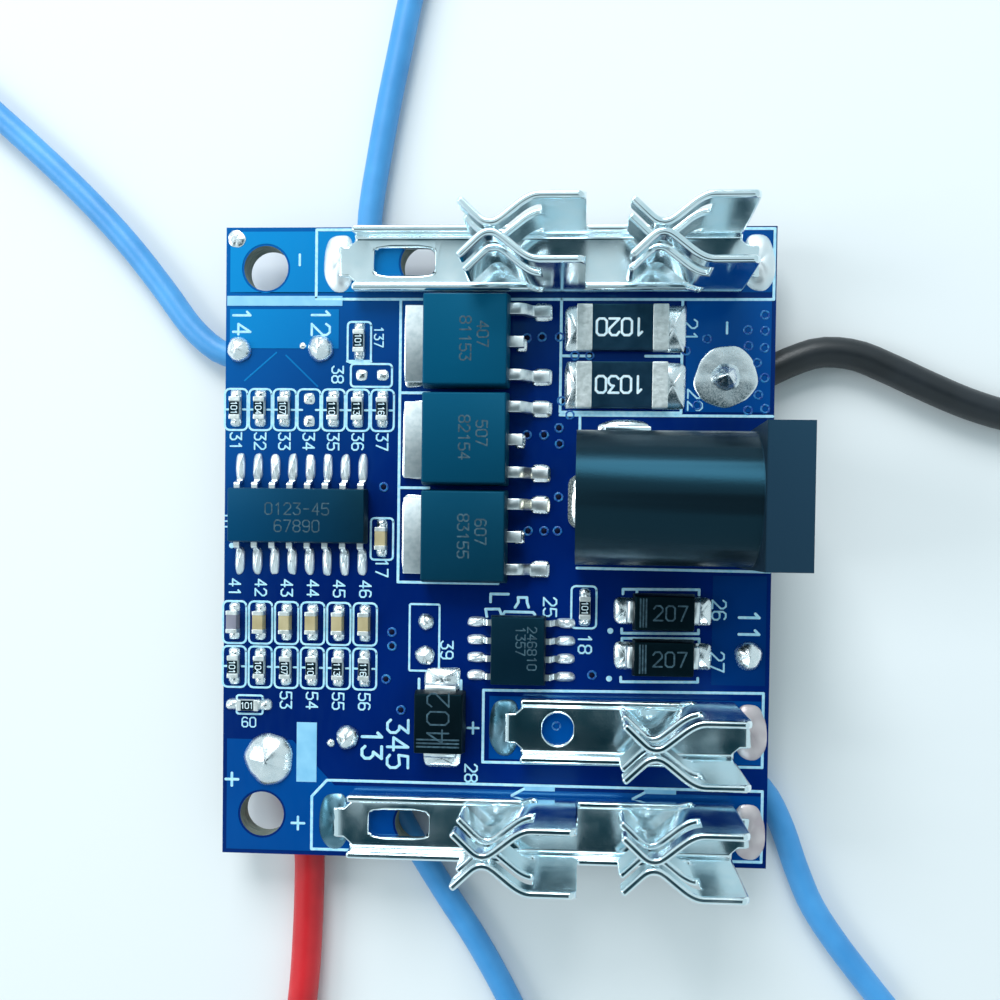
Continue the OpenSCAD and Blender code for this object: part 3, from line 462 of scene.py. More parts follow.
digit_lines = {
    "0": [[(0, .15), (0, .85), (.15, 1), (.45, 1), (.6, .85), (.6, .15), (.45, 0), (.15, 0), (0, .15)]],
    "1": [[(.15, .8), (.35, 1), (.35, 0)]],
    "2": [[(0, .8), (.15, 1), (.45, 1), (.6, .82), (.6, .62), (0, 0), (.6, 0)]],
    "3": [[(0, 1), (.6, 1), (.28, .58), (.45, .56), (.6, .4), (.6, .15), (.45, 0), (.15, 0), (0, .15)]],
    "4": [[(.45, 0), (.45, 1), (0, .3), (.6, .3)]],
    "5": [[(.6, 1), (.05, 1), (0, .55), (.45, .6), (.6, .42), (.6, .15), (.45, 0), (.15, 0), (0, .12)]],
    "6": [[(.55, .9), (.4, 1), (.15, 1), (0, .8), (0, .15), (.15, 0), (.45, 0), (.6, .15), (.6, .4),
           (.45, .55), (.15, .55), (0, .4)]],
    "7": [[(0, 1), (.6, 1), (.2, 0)]],
    "8": [[(.15, .52), (0, .68), (0, .85), (.15, 1), (.45, 1), (.6, .85), (.6, .68), (.45, .52), (.15, .52),
           (0, .36), (0, .15), (.15, 0), (.45, 0), (.6, .15), (.6, .36), (.45, .52)]],
    "9": [[(.05, .1), (.2, 0), (.45, 0), (.6, .2), (.6, .85), (.45, 1), (.15, 1), (0, .85), (0, .6),
           (.15, .45), (.45, .45), (.6, .6)]],
    "+": [[(.3, .2), (.3, .8)], [(0, .5), (.6, .5)]],
    "-": [[(.08, .5), (.52, .5)]],
}


def number(text, x, y, tall, turn=-90, gap=0.24):
    """Lines of a plain number whose middle is at x, y: characters 0.6 wide and 1 tall, scaled to the
    given height, side by side with a gap, then turned by degrees about the middle."""
    c, s = math.cos(math.radians(turn)), math.sin(math.radians(turn))
    whole = len(text) * (0.6 + gap) - gap
    lines = []
    for k, character in enumerate(text):
        for line in digit_lines[character]:
            p = (np.array(line) + (k * (0.6 + gap) - whole / 2, -0.5)) * tall
            lines.append(np.column_stack([x + c * p[:, 0] - s * p[:, 1], y + s * p[:, 0] + c * p[:, 1]]))
    return lines


ink = clouded_finish("legend_ink", (0.3, 0.66, 0.86), (0.5, 0.8, 0.95), 0.55, (3000, 3), (0.3, 0.6), 0.0,
                     (0.00001, 0.6))
broad_ink = clouded_finish("broad_ink", (0.2, 0.5, 0.74), (0.28, 0.6, 0.82), 0.55, (900, 2))
ink_base = 0.03
ink_height = 0.02
legend = [
    [(-12.95, 17.40), (-12.95, 22.31), (19.32, 22.31), (19.32, 17.40), (-12.95, 17.40)],
    [(-6.86, 17.35), (-6.86, -2.69), (0.31, -2.69)],
    [(-6.86, 10.78), (-4.7, 10.78)],
    [(-6.86, 4.04), (-4.7, 4.04)],
    [(4.55, 17.40), (4.55, 9.48), (13.03, 9.48), (13.03, 17.40)],
    [(4.55, 13.44), (6.6, 13.44)],
    [(10.5, 13.44), (13.03, 13.44)],
    [(4.55, 9.28), (19.4, 9.28)],
    [(5.96, 9.28), (5.96, 8.3)],
    [(5.9, -1.5), (19.4, -1.58)],
    [(-0.63, -10.30), (19.1, -10.12), (19.1, -15.35), (-0.63, -15.45), (-0.63, -10.30)],
    [(-12.95, -18.23), (-11.86, -17.04), (19.15, -17.04), (19.15, -22.05), (-12.95, -22.05),
     (-12.95, -18.23)],
    [(-10.65, 13.0), (-8.97, 13.0)],
    [(9.17, -3.27), (9.17, -2.95), (14.5, -2.9), (14.5, -3.27)],
    [(10.15, -2.95), (10.15, -3.2)],
    [(9.12, -5.75), (9.12, -6.06), (14.5, -6.0), (14.5, -5.74)],
    [(9.15, -6.65), (9.15, -6.42), (14.55, -6.36), (14.55, -6.72)],
    [(10.1, -6.42), (10.1, -6.6)],
    [(9.1, -9.18), (9.1, -9.5), (14.5, -9.42), (14.5, -9.15)],
    [(-0.2, -4.0), (-0.2, -3.43), (1.06, -3.43)],
    [(-0.45, -5.05), (-0.55, -4.52), (0.42, -4.5), (0.6, -4.9)],
    [(0.69, -4.9), (0.83, -4.68), (2.83, -4.7), (2.97, -4.85)],
    [(1.55, -4.36), (1.78, -4.0), (1.76, -3.65), (2.38, -3.65), (2.4, -4.0), (2.52, -4.34)],
    [(2.35, -17.3), (1.5, -17.78)],
    [(10.9, -17.35), (10.1, -17.8)],
    [(-5.26, -9.6), (-5.26, -10.28)],
    [(-2.24, -9.66), (-2.24, -10.3)],
]
legend_widths = [0.2] * len(legend)
resistor_pitch = 1.767
capacitor_pitch = 1.9
row_x = -18.7
for k in range(7):
    x = row_x + k * resistor_pitch
    legend += [rounded_box_line(x - 0.82, 8.05, x + 0.82, 10.99), [(x - 0.8, 9.52), (x - 0.5, 9.52)],
               [(x + 0.8, 9.52), (x + 0.5, 9.52)]]
for k in range(6):
    x = row_x + k * capacitor_pitch
    legend += [rounded_box_line(x - 0.85, -7.28, x + 0.85, -4.25),
               rounded_box_line(x - 0.85, -10.45, x + 0.85, -7.5),
               [(x - 0.85, -8.95), (x - 0.55, -8.95)], [(x + 0.85, -8.95), (x + 0.55, -8.95)]]
legend += [rounded_box_line(*box) for box in (
    (-10.65, 12.89, -8.97, 15.79, 0.25), (-10.40, 11.19, -7.44, 12.81, 0.25),
    (-8.85, -1.12, -7.24, 1.85, 0.25), (5.54, -5.76, 7.31, -2.78, 0.3),
    (-18.50, -12.38, -16.60, -11.04, 0.15), (-5.98, -9.01, -3.84, -4.25, 0.1))]
legend_widths += [0.15] * (len(legend) - len(legend_widths))
strokes("legend_frames", legend, np.array(legend_widths), ink_height, ink, ink_base)

marks = []
mark_widths = []
for text, x, y, tall, wide in [
        ("-", -14.16, 20.19, 1.7, 0.17), ("14", -18.33, 15.78, 1.25, 0.17), ("12", -12.60, 15.79, 1.3, 0.17),
        ("-", 16.13, 15.42, 1.7, 0.17), ("21", 13.56, 15.28, 1.0, 0.12), ("22", 13.99, 10.40, 1.0, 0.12),
        ("137", -8.41, 14.73, 0.62, 0.1), ("38", -11.35, 12.05, 0.8, 0.12), ("17", -8.02, -1.71, 0.85, 0.12),
        ("39", -3.28, -7.49, 0.85, 0.12), ("18", 6.54, -6.88, 0.9, 0.13), ("25", 4.03, -4.30, 0.9, 0.13),
        ("26", 15.91, -4.31, 0.94, 0.13), ("27", 15.84, -7.97, 0.94, 0.13), ("11", 18.02, -5.33, 1.4, 0.2),
        ("+", -1.35, -13.03, 1.3, 0.17), ("28", -1.45, -16.26, 0.85, 0.13), ("13", -8.62, -14.36, 1.42, 0.22),
        ("345", -6.75, -14.3, 1.5, 0.2), ("+", -18.82, -17.15, 1.5, 0.2), ("+", -13.95, -20.21, 1.5, 0.18)]:
    lines = number(text, x, y, tall)
    marks += lines
    mark_widths += [wide] * len(lines)
for row, y, first, pitch, count in (("3", 7.27, 1, resistor_pitch, 7), ("4", -3.24, 1, capacitor_pitch, 6),
                                    ("5", -11.32, 3, capacitor_pitch, 4)):
    for k in range(count):
        lines = number(row + str(first + k), row_x + (first - 1 + k) * pitch, y, 0.8)
        marks += lines
        mark_widths += [0.12] * len(lines)
marks += number("60", -17.60, -12.98, 0.68, 0)
mark_widths += [0.1] * (len(marks) - len(mark_widths))
strokes("legend_numbers", marks, np.array(mark_widths), ink_height, ink, ink_base)


def bar(x0, y0, x1, y1):
    """Flat printed bar with square corners: the grid is its outline, drawn in and up at the rim."""
    outline = np.array([(x0, y0), (x1, y0), (x1, y1), (x0, y1)])
    middle = outline.mean(axis=0)
    inner = middle + (outline - middle) * (1 - 0.06 / np.abs(outline - middle))
    centre = np.broadcast_to(middle, (4, 2))
    level = np.array([0.05, 0.05, 0.045, 0.0, 0.0])[:, None]
    return on_board(np.stack([centre, inner, outline, outline, centre]), level)


bars = np.stack([bar(-19.4, 16.93, -11.06, 17.63), bar(-14.09, -17.20, -12.63, -12.90),
                 bar(2.33, -17.42, 4.55, -17.0), bar(10.87, -17.42, 13.12, -17.0)])
add_piece("legend_bars", surface_mesh(bars, smooth=False), broad_ink, "solder_mask")
dots = [[(8.31, -5.91), (8.32, -5.91)], [(8.27, -9.3), (8.28, -9.3)], [(-18.95, -0.25), (-18.94, -0.25)],
        [(-19.45, 1.9), (-19.0, 1.9)], [(-19.45, 1.5), (-19.0, 1.5)], [(-19.45, 1.1), (-19.0, 1.1)]]
strokes("legend_dots", dots, np.array([0.42, 0.42, 0.4, 0.12, 0.12, 0.12]), ink_height, ink, ink_base)


# ---- vias ----
# Small plated holes that join the copper of both faces: a ring of copper under the mask, raised a
# little, round a hole that the mask leaves nearly open. The hole is a near-black cap: painted shade.
via_places = np.array([
    (-7.95, 4.08), (2.14, 14.69), (3.20, 14.76), (4.44, 14.77), (5.55, 13.47), (6.60, 13.48),
    (4.65, 10.27), (5.25, 9.29), (4.49, 8.37), (4.55, 7.24), (2.23, 7.86), (3.44, 7.87),
    (4.53, 3.50), (2.39, 1.07), (3.53, 1.08), (4.49, 1.10), (-7.25, -6.28), (-7.24, -7.28),
    (-7.65, -9.66), (-6.54, -11.86), (7.07, -9.07), (18.74, 16.33), (17.58, 15.29), (18.76, 15.22),
    (17.64, 14.18), (18.75, 14.04), (18.25, 13.00), (18.78, 11.96), (18.38, 10.77), (17.68, 9.68),
    (18.86, 9.80), (14.76, 14.66), (13.31, 13.81), (14.14, 10.01), (4.6, -12.75)])


def turned_bodies(places, radii, heights):
    """Bodies of revolution round their places: at step i the radius is r_i and the height z_i."""
    turn = np.linspace(0, 2 * np.pi, 24, endpoint=False)
    spokes = np.array(radii)[:, None, None] * np.stack([np.cos(turn), np.sin(turn)], -1)
    return on_board(places[:, None, None] + spokes, np.array(heights)[:, None])


via_ring_finish = clouded_finish("via_ring", (0.001, 0.05, 0.3), (0.03, 0.22, 0.5), 0.2, (5000, 2),
                                 (0.4, 0.65))
rings = turned_bodies(via_places, [0.2, 0.24, 0.29, 0.34, 0.36, 0.2], [0.045, 0.075, 0.075, 0.05, 0, 0])
add_piece("via_rings", surface_mesh(rings, wrap_u=True), via_ring_finish, "solder_mask")
# Near-black caps in the holes: painted shade.
hole_painted_shade = tinted(new_finish("via_hole", (0.0005, 0.002, 0.02), 0.5)[2], 0.1)
grained(hole_painted_shade, 4000, 2, (0.4, 0.7))
wells = turned_bodies(via_places, [0, 0.21, 0.22, 0], [0.012, 0.035, 0, 0])
add_piece("via_holes", surface_mesh(wells), hole_painted_shade, "solder_mask")


# ---- spring terminals ----
# Each is one strip of tinned spring brass, 0.5 mm thick, folded into a channel with legs through
# the board. Where its walls rise, each is slit into fingers that pinch towards each other.
def rounded(piece, radius, segments, angle=35):
    """Rounds a piece's edges to a radius in mm, as stamping or a mould leaves them. Its flat faces
    stay flat, because the rounding carries the blend of the shading."""
    rounding = piece.modifiers.new("rounding", "BEVEL")
    rounding.width = radius * mm
    rounding.segments = segments
    rounding.limit_method = "ANGLE"
    rounding.angle_limit = math.radians(angle)
    rounding.harden_normals = True
    return piece


def closed_sheet(surfaces):
    """One closed mesh from surfaces that share their edges. Each is (points[i, j] in mm, keep[i, j]
    or None); the cell from i, j to i + 1, j + 1 is left out where keep is false."""
    points, quads, start = [], [], 0
    for patch, keep in surfaces:
        index = start + np.arange(patch.shape[0] * patch.shape[1]).reshape(patch.shape[:2])
        cells = np.stack([index[:-1, :-1], index[1:, :-1], index[1:, 1:], index[:-1, 1:]], -1)
        quads.append(cells.reshape(-1, 4) if keep is None else cells[keep])
        points.append(patch.reshape(-1, 3))
        start += index.size
    mesh = bpy.data.meshes.new("sheet")
    mesh.from_pydata(np.concatenate(points) * mm + origin, [], np.concatenate(quads).tolist())
    return cleaned(mesh, True, closed=True)


def quarter(x, z, r, a0, a1, count=7):
    """Arc of radius r about x, z from a0 to a1 degrees: (x + r cos a, z + r sin a)."""
    a = np.radians(np.linspace(a0, a1, count))
    return np.column_stack([x + r * np.cos(a), z + r * np.sin(a)])


sheet = 0.5
channel_half = 2.25
bend_r = 0.8
floor_half = channel_half - bend_r
low_wall = 1.6
clip_top = 8.2
clip_length = 2.9
notch_floor = 1.02
notch_start = 0.98
notch_end = 0.4
clip_cut = 0.35
lower_finger = (2.0, 4.95)
upper_finger = (6.8, clip_top)
finger_rows = np.array([low_wall, *lower_finger, *upper_finger])
neck_half = 1.1
leg_tip = -4.0


def wall_stations(left, right, floor_x, clips):
    """Steps along a channel as (x, height of the wall): low wall, a notch that falls towards the
    bend beside each clip, the clip itself with its cut corner, and so on to the right end."""
    steps = [(left, low_wall)] + [(x, low_wall) for x in floor_x]
    for x in clips:
        steps += [(x - notch_start, low_wall), (x - notch_end, notch_floor), (x, notch_floor)]
        steps += [(x, z) for z in finger_rows]
        steps += [(x + clip_length - clip_cut, clip_top), (x + clip_length, clip_top - clip_cut)]
        if x + clip_length < right - 0.01:
            steps += [(x + clip_length, low_wall)]
    return np.array(steps)


def channel_side(stations, side):
    """Skin of one wall with its bend: at each station, from the floor's top round the inner bend, up
    to the wall's height, over it and down the outside to the floor's underside."""
    inner = quarter(floor_half, bend_r, bend_r - sheet, -90, 0)
    outer = quarter(floor_half, bend_r, bend_r, 0, -90)
    y = np.concatenate([inner[:, 0], np.full(5, channel_half - sheet), np.full(5, channel_half),
                        outer[:, 0]])
    z = np.concatenate([inner[:, 1], finger_rows, finger_rows[::-1], outer[:, 1]])
    x, height = stations[:, :1], stations[:, 1:]
    points = np.stack(np.broadcast_arrays(x, side * y, np.minimum(z, height)), -1)
    keep = np.ones((len(x) - 1, len(z) - 1), bool)
    same = np.isclose(x[1:, 0], x[:-1, 0])
    at_fingers = same & np.isin(height[:-1, 0], (lower_finger[0], upper_finger[0]))
    keep[at_fingers, len(inner) + 4] = False
    return points, keep


def finger(x, side, z0, z1):
    """Skin of one finger: a flat section swept along a path that leaves the wall, bends in to the
    pinch and flares out again; each bend is the curve (1 - s)^2 p + 2 s (1 - s) b + s^2 q."""
    a, b, c = np.array([(-0.6, 2.0), (-3.15, -0.033), (-5.1, 1.8)])
    s = np.array([0, 0.2, 0.33, 0.46, 0.6, 0.73, 0.86, 1])[:, None]
    toward = (b - a) / np.linalg.norm(b - a)
    away = (c - b) / np.linalg.norm(c - b)
    path = np.vstack([(1 - s)**2 * (0, 2.0) + 2 * s * (1 - s) * a + s**2 * (a + toward),
                      (1 - s)**2 * (b - toward) + 2 * s * (1 - s) * b + s**2 * (b + away), c])
    run = np.vstack([(-1, 0), path[2:] - path[:-2], path[-1] - path[-2]])
    run /= np.linalg.norm(run, axis=1)[:, None]
    off = np.column_stack([-run[:, 1], run[:, 0]]) * sheet / 2
    near, far = path + off, path - off
    loop = np.stack([near, near, far, far, near], 1)
    z = np.broadcast_to(np.array([z0, z1, z1, z0, z0]), loop.shape[:2])
    return np.stack([x + loop[..., 0], side * loop[..., 1], z], -1), None


def neck(x, way):
    """Skin of a neck and leg: from the floor's end it narrows over the shoulders, bends over a
    radius of 0.65 mm and runs down through the board."""
    top = np.vstack([(0, sheet), (0.4, sheet), quarter(0.8, -0.15, 0.65, 90, 0), (1.45, leg_tip)])
    under = np.vstack([(0, 0), (0.4, 0), quarter(0.8, -0.15, 0.15, 90, 0), (0.95, leg_tip)])
    half = np.concatenate([[floor_half], np.full(len(top) - 1, neck_half)])
    loop = np.stack([top, top, under, under, top], 1)
    y = half[:, None] * np.array([-1, 1, 1, -1, -1])
    return np.stack([x + way * loop[..., 0], y, loop[..., 1]], -1), None


def channel_floor(stations, rim):
    """Floor with a hole: plain strips beside it and, round it, a ring that runs from the channel's
    bends to the rim at equal shares, down through the hole and back along the underside."""
    count = len(rim)
    edge = stations[1:count + 1, 0]
    around = np.concatenate([np.column_stack([edge, np.full(count, floor_half)]),
                             np.column_stack([edge, np.full(count, -floor_half)])[::-1]])
    hole = np.concatenate([rim, (rim * (1, -1))[::-1]])
    levels = [(around, sheet), (hole, sheet), (hole, 0.0), (around, 0.0)]
    ring = np.stack([np.column_stack([flat, np.full(2 * count, z)]) for flat, z in levels], 1)
    surfaces = [(np.concatenate([ring, ring[:1]]), None)]
    for x in (stations[:2, 0], stations[count:, 0]):
        x = x[np.concatenate([[True], np.diff(x) > 1e-6])]
        for z in (sheet, 0.0):
            y = np.array([-floor_half, floor_half])
            surfaces.append((np.stack(np.broadcast_arrays(x[:, None], y[None, :], z), -1), None))
    return surfaces


def spring_terminal(left, right, y, rim, clips):
    """All surfaces of one terminal, moved to its place across the board."""
    reach = np.array([rim[0, 0] - 0.5, rim[-1, 0] + 0.5])
    stations = wall_stations(left, right, np.linspace(*reach, len(rim)), clips)
    surfaces = [channel_side(stations, side) for side in (-1, 1)] + channel_floor(stations, rim)
    surfaces += [finger(x, side, *tier) for x in clips for side in (-1, 1)
                 for tier in (lower_finger, upper_finger)]
    surfaces += [neck(left, -1), neck(right, 1)]
    return [(points + (0, y, 0), keep) for points, keep in surfaces]


tinned_sheet = clouded_finish("tinned_sheet", (0.76, 0.9, 0.95), (0.88, 0.97, 1.0), 0.2, (500, 3),
                              (0.3, 0.65), 1.0)
grained(tinned_sheet, 500, 3, (0.1, 0.2))
grained(tinned_sheet, 7000, 3, None, (0.000001, 0.15))
slot_rim = np.vstack([quarter(-8.11, 0.335, 0.59, 180, 90, 6), quarter(-4.99, 0.335, 0.59, 90, 0, 6)])
hole_rim = quarter(4.7, 0, 1.1, 173, 7, 13)
terminals = {"negative": (-10.1, 17.05, 19.95, slot_rim, (3.3, 14.15)),
             "positive": (-10.1, 17.05, -19.95, slot_rim, (3.3, 14.15)),
             "charge": (2.1, 17.05, -12.9, hole_rim, (14.15,))}
for which, sizes in terminals.items():
    terminal = add_piece(which + "_spring_terminal", closed_sheet(spring_terminal(*sizes)), tinned_sheet,
                         "tinned_sheet", which + "_terminal")
    rounded(terminal, 0.19, 4).modifiers["rounding"].use_clamp_overlap = False


# ---- solder of the terminals and jack ----
# Tin solder, run in by hand: it fills the slots round each leg and stands over its long pad in a
# smooth, uneven crown, bright at some legs and dulled by flux at others. The left crowns of the two
# lower terminals are painted dark: a painted reflection of the dark room.
def board_mm(node):
    """Lowest and highest corners of a CAD node in millimetres from the board's middle and top."""
    return tuple((np.array(corner) - origin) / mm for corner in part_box(node))


solder = clouded_finish("solder", (0.78, 0.84, 0.87), (0.95, 0.97, 0.98), 0.16, (1600, 3), (0.3, 0.6), 1.0,
                        (0.00003, 0.35))
grained(solder, 9000, 3, (0.16, 0.34))


def aged_solder(name, dark, light, roughness):
    """Duller solder: slow clouds from one colour to the other and a satin to matt skin."""
    material = clouded_finish(name, dark, light, roughness, (700, 1), (0.35, 0.65), 0.85, (0.00002, 0.2))
    return grained(material, 2500, 1, (roughness - 0.06, roughness + 0.08))


white_solder = aged_solder("white_solder", (0.82, 0.9, 0.94), (0.97, 0.98, 0.99), 0.36)
# A dark copy of the solder: a painted dark reflection, for the lower terminals' left crowns.
solder_painted_dark = aged_solder("solder_painted_dark", (0.05, 0.14, 0.19), (0.2, 0.34, 0.42), 0.3)
flux_solder = aged_solder("flux_solder", (0.6, 0.5, 0.52), (0.78, 0.68, 0.68), 0.45)


def waves(count, turn, seed, parts):
    """Slow waves round each of a count of joints: the sum of k sin(n a + phase) over parts (k, n)."""
    phase = np.random.default_rng(seed).uniform(0, 2 * np.pi, (count, len(parts)))
    return sum(amount * np.sin(times * turn + phase[:, k:k + 1])
               for k, (amount, times) in enumerate(parts))


def solder_crowns(name, places, seed, squareness=2.6, finish=solder, base=0.0, nodes=()):
    """Crowns of solder. Each place is (x, y, half width, half length, height) over a base height.
    The footprint is the superellipse |x / a|^n + |y / b|^n = 1. The height over share q of the way
    out is H (1 - q^2.4)^0.75, with a few slow waves round the crown, and it closes flat below."""
    turn = np.linspace(0, 2 * np.pi, 36, endpoint=False)
    across = np.sign(np.cos(turn)) * np.abs(np.cos(turn))**(2 / squareness)
    length = np.sign(np.sin(turn)) * np.abs(np.sin(turn))**(2 / squareness)
    q = np.concatenate([[0], np.linspace(0.1, 0.9, 9), [0.96, 0.99, 1.0, 1.0, 0]])[:, None]
    lift = np.clip(1 - q**2.4, 0, 1)**0.75
    lift[-2:] = 0
    wave = waves(len(places), turn, seed, [(0.10, 2), (0.07, 3), (0.05, 5)])[:, None]
    x0, y0, a, b, tall = (np.array(places, float)[:, k, None, None] for k in range(5))
    rim = q * (1 + 0.35 * wave)
    points = np.stack(np.broadcast_arrays(x0 + a * across * rim, y0 + b * length * rim,
                                          base + tall * lift * (1 + 1.6 * wave * q)), -1)
    add_piece(name, surface_mesh(points * mm + origin), finish, "solder", *nodes)


pad_half = (1.12, 1.97)
crown_tall = 0.42
# Solder under the board ends flat 0.6 mm below its underside, which is 1.6 mm down.
under_joint = -1.6 - 0.6
crown_finishes = {"negative": (white_solder, white_solder), "positive": (solder_painted_dark, flux_solder),
                  "charge": (solder_painted_dark, flux_solder)}
for which, (left_finish, right_finish) in crown_finishes.items():
    node = which + "_terminal_solder"
    low, high = board_mm(node)
    middle = (low[1] + high[1]) / 2
    left_x, right_x = low[0] + pad_half[0], high[0] - pad_half[0]
    solder_crowns(which + "_terminal_left_crown", [(left_x, middle, *pad_half, crown_tall)], 5,
                  finish=left_finish, nodes=(node,))
    solder_crowns(which + "_terminal_right_crown", [(right_x, middle, *pad_half, crown_tall)], 6,
                  finish=right_finish)
    joints = [(x, middle, 0.5, 1.35, 1.0) for x in (left_x, right_x)]
    solder_crowns(which + "_terminal_under_joints", joints, 7, base=under_joint)
finish_node("jack_solder", solder)
solder_crowns("jack_crowns", [(5.9, 3.2, 0.62, 1.8, 0.35), (9.05, 8.35, 1.85, 0.62, 0.35)], 9)


# ---- charge jack ----
# A moulded socket lies on the board with its mouth over the edge: a round barrel, a square flange,
# a brass centre pin, and two tinned contacts whose tails go through the board.
def rounded_copy(name, node, radius, segments, material, slot, angle=35):
    """Copy of a CAD node that stands for it, with its edges rounded to a radius in mm."""
    mesh = merged_copy(node)
    mesh.polygons.foreach_set("use_smooth", np.ones(len(mesh.polygons), bool))
    return rounded(add_piece(name, mesh, material, slot, node), radius, segments, angle)


flange_t = 2.85
flange_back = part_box("jack_housing")[1][0] / mm - flange_t
jack_tree, jack_shader, jack_plastic = new_finish("jack_plastic", (0.004, 0.008, 0.012), 0.3)
on_flange = along(jack_tree, (1, 0), flange_back - 0.1, flange_back + 0.1)
jack_colour = ramp(jack_tree, on_flange, [(0.0, (0.004, 0.009, 0.013)), (1.0, (0.012, 0.028, 0.05))])
jack_tree.links.new(jack_colour, jack_shader.inputs["Base Color"])
jack_tree.links.new(spread(jack_tree, on_flange, 0.27, 0.55, (0, 1)), jack_shader.inputs["Roughness"])
grained(tinted(jack_plastic, 0.4, (0.15, 0.65, 1)), 9000, 3, None, (0.00002, 0.3))
brass = clouded_finish("plated_brass", (0.68, 0.6, 0.42), (0.84, 0.8, 0.68), 0.22, (900, 3),
                       metallic=1.0)
rounded_copy("jack_barrel_and_flange", "jack_housing", 0.18, 3, jack_plastic, "jack_plastic")
rounded_copy("jack_pin", "jack_centre_pin", 0.1, 2, brass, "plated_brass")
rounded_copy("jack_sleeve_leaf", "jack_sleeve_contact", 0.06, 2, tinned_sheet, "tinned_sheet")
rounded_copy("jack_switch_leaf", "jack_switch_contact", 0.06, 2, tinned_sheet, "tinned_sheet")


# ---- power transistors ----
# Three flat transistors: an epoxy body moulded on a tinned copper plate, whose end shows as a tab,
# and two long leads and a cropped middle one, bent down to their pads.
def moulding_finish(name, dark, light, roughness, painted_reflection_colour=None, way=(0, 1), span=(0, 10)):
    """Moulded epoxy: fine matt grain with soft clouds of flow marks and, where asked, a painted
    reflection: a lighter colour that grows along one way over a span of millimetres."""
    material = tinted(clouded_finish(name, dark, light, roughness, (500, 4)), 0.3, (0.12, 0.7, 1))
    if painted_reflection_colour:
        tree = material.node_tree
        colour = tree.nodes["Principled BSDF"].inputs["Base Color"]
        clouds = colour.links[0].from_socket
        tree.links.new(towards(tree, along(tree, way, *span), clouds, painted_reflection_colour), colour)
    return grained(material, 14000, 3, (roughness - 0.06, roughness + 0.1), (0.000012, 0.6))


# The transistors' epoxy is painted lighter towards the board's back: a painted reflection.
moulded = moulding_finish("moulded_black", (0.001, 0.006, 0.013), (0.002, 0.010, 0.02), 0.42,
                          (0.001, 0.07, 0.145), (-0.35, 1), (-8, 14))
mark_finish = clouded_finish("laser_mark", (0.012, 0.045, 0.07), (0.045, 0.11, 0.15), 0.6, (3500, 4),
                             (0.4, 0.65))
tinned_plate = clouded_finish("tinned_plate", (0.72, 0.78, 0.8), (0.92, 0.95, 0.96), 0.32, (2200, 4),
                              (0.3, 0.6), 1.0, (0.000012, 0.4))
mark_height = 0.008
lead_spacing = 2.28
mark_lines = []
for k in (1, 2, 3):
    node = "transistor_%d" % k
    rounded_copy(node + "_moulding", node + "_body", 0.12, 2, moulded, "moulded_black")
    rounded_copy(node + "_plate", node + "_tab", 0.05, 2, tinned_plate, "tinned_sheet")
    rounded_copy(node + "_legs", node + "_leads", 0.05, 2, tinned_plate, "tinned_sheet")
    low, high = board_mm(node + "_body")
    middle = (low[1] + high[1]) / 2
    mark_lines += number("8%d15%d" % (k, k + 2), low[0] + 3.1, middle, 0.75)
    mark_lines += number("%d07" % (k + 3), low[0] + 4.3, middle + 0.3, 0.75)
    tip_low, tip_high = board_mm(node + "_leads")
    tips = [(tip_high[0] - 0.55, middle + way * lead_spacing, 0.72, 0.62, 0.24) for way in (1, -1)]
    tips.append((tip_low[0] + 1.2, middle, 0.42, 0.5, 0.2))
    solder_crowns(node + "_lead_solder", tips, 20 + k, 4)
    solder_crowns(node + "_tab_solder", [(low[0] - 0.6, middle, 0.95, 2.85, 0.16)], 30 + k, 7)
strokes("transistor_marks", mark_lines, 0.11, mark_height, mark_finish,
        board_mm("transistor_1_body")[1][2], "moulded_black")


# ---- shunt resistors ----
# Two low-value resistors side by side: a dark coated metal element with tin over each end, marked
# with a white number, on broad pads whose solder climbs the ends.
def rounded_boxes(name, lows, highs, material, slot, sharp, *nodes):
    """Boxes with soft edges: the superquadric x = a c(u) c(v), y = b c(u) s(v), z = c s(u), where
    c and s are cosine and sine raised to a small power with their sign kept."""
    low = np.array(lows, float)[:, None, None]
    high = np.array(highs, float)[:, None, None]
    corner = np.array([0, 0.02, 0.1, 0.3, 0.6, 1.0])
    quarter_turn = np.pi / 4 * np.concatenate([corner, 2 - corner[-2::-1]])
    v = np.concatenate([quarter_turn[:-1] + k * np.pi / 2 for k in range(4)])
    u = np.concatenate([-quarter_turn[::-1], quarter_turn[1:]])
    circle = np.array([np.cos(v), np.sin(v)])
    circle[np.abs(circle) < 1e-9] = 0
    cu, su = np.cos(u), np.sin(u)
    cu[[0, -1]] = 0
    cu, su, cv, sv = (np.sign(w) * np.abs(w)**sharp for w in (cu, su, *circle))
    shape = np.stack([cu[:, None] * cv, cu[:, None] * sv, np.repeat(su[:, None], len(v), 1)], -1)
    points = (low + high) / 2 + (high - low) / 2 * shape
    add_piece(name, surface_mesh(points * mm + origin), material, slot, *nodes)


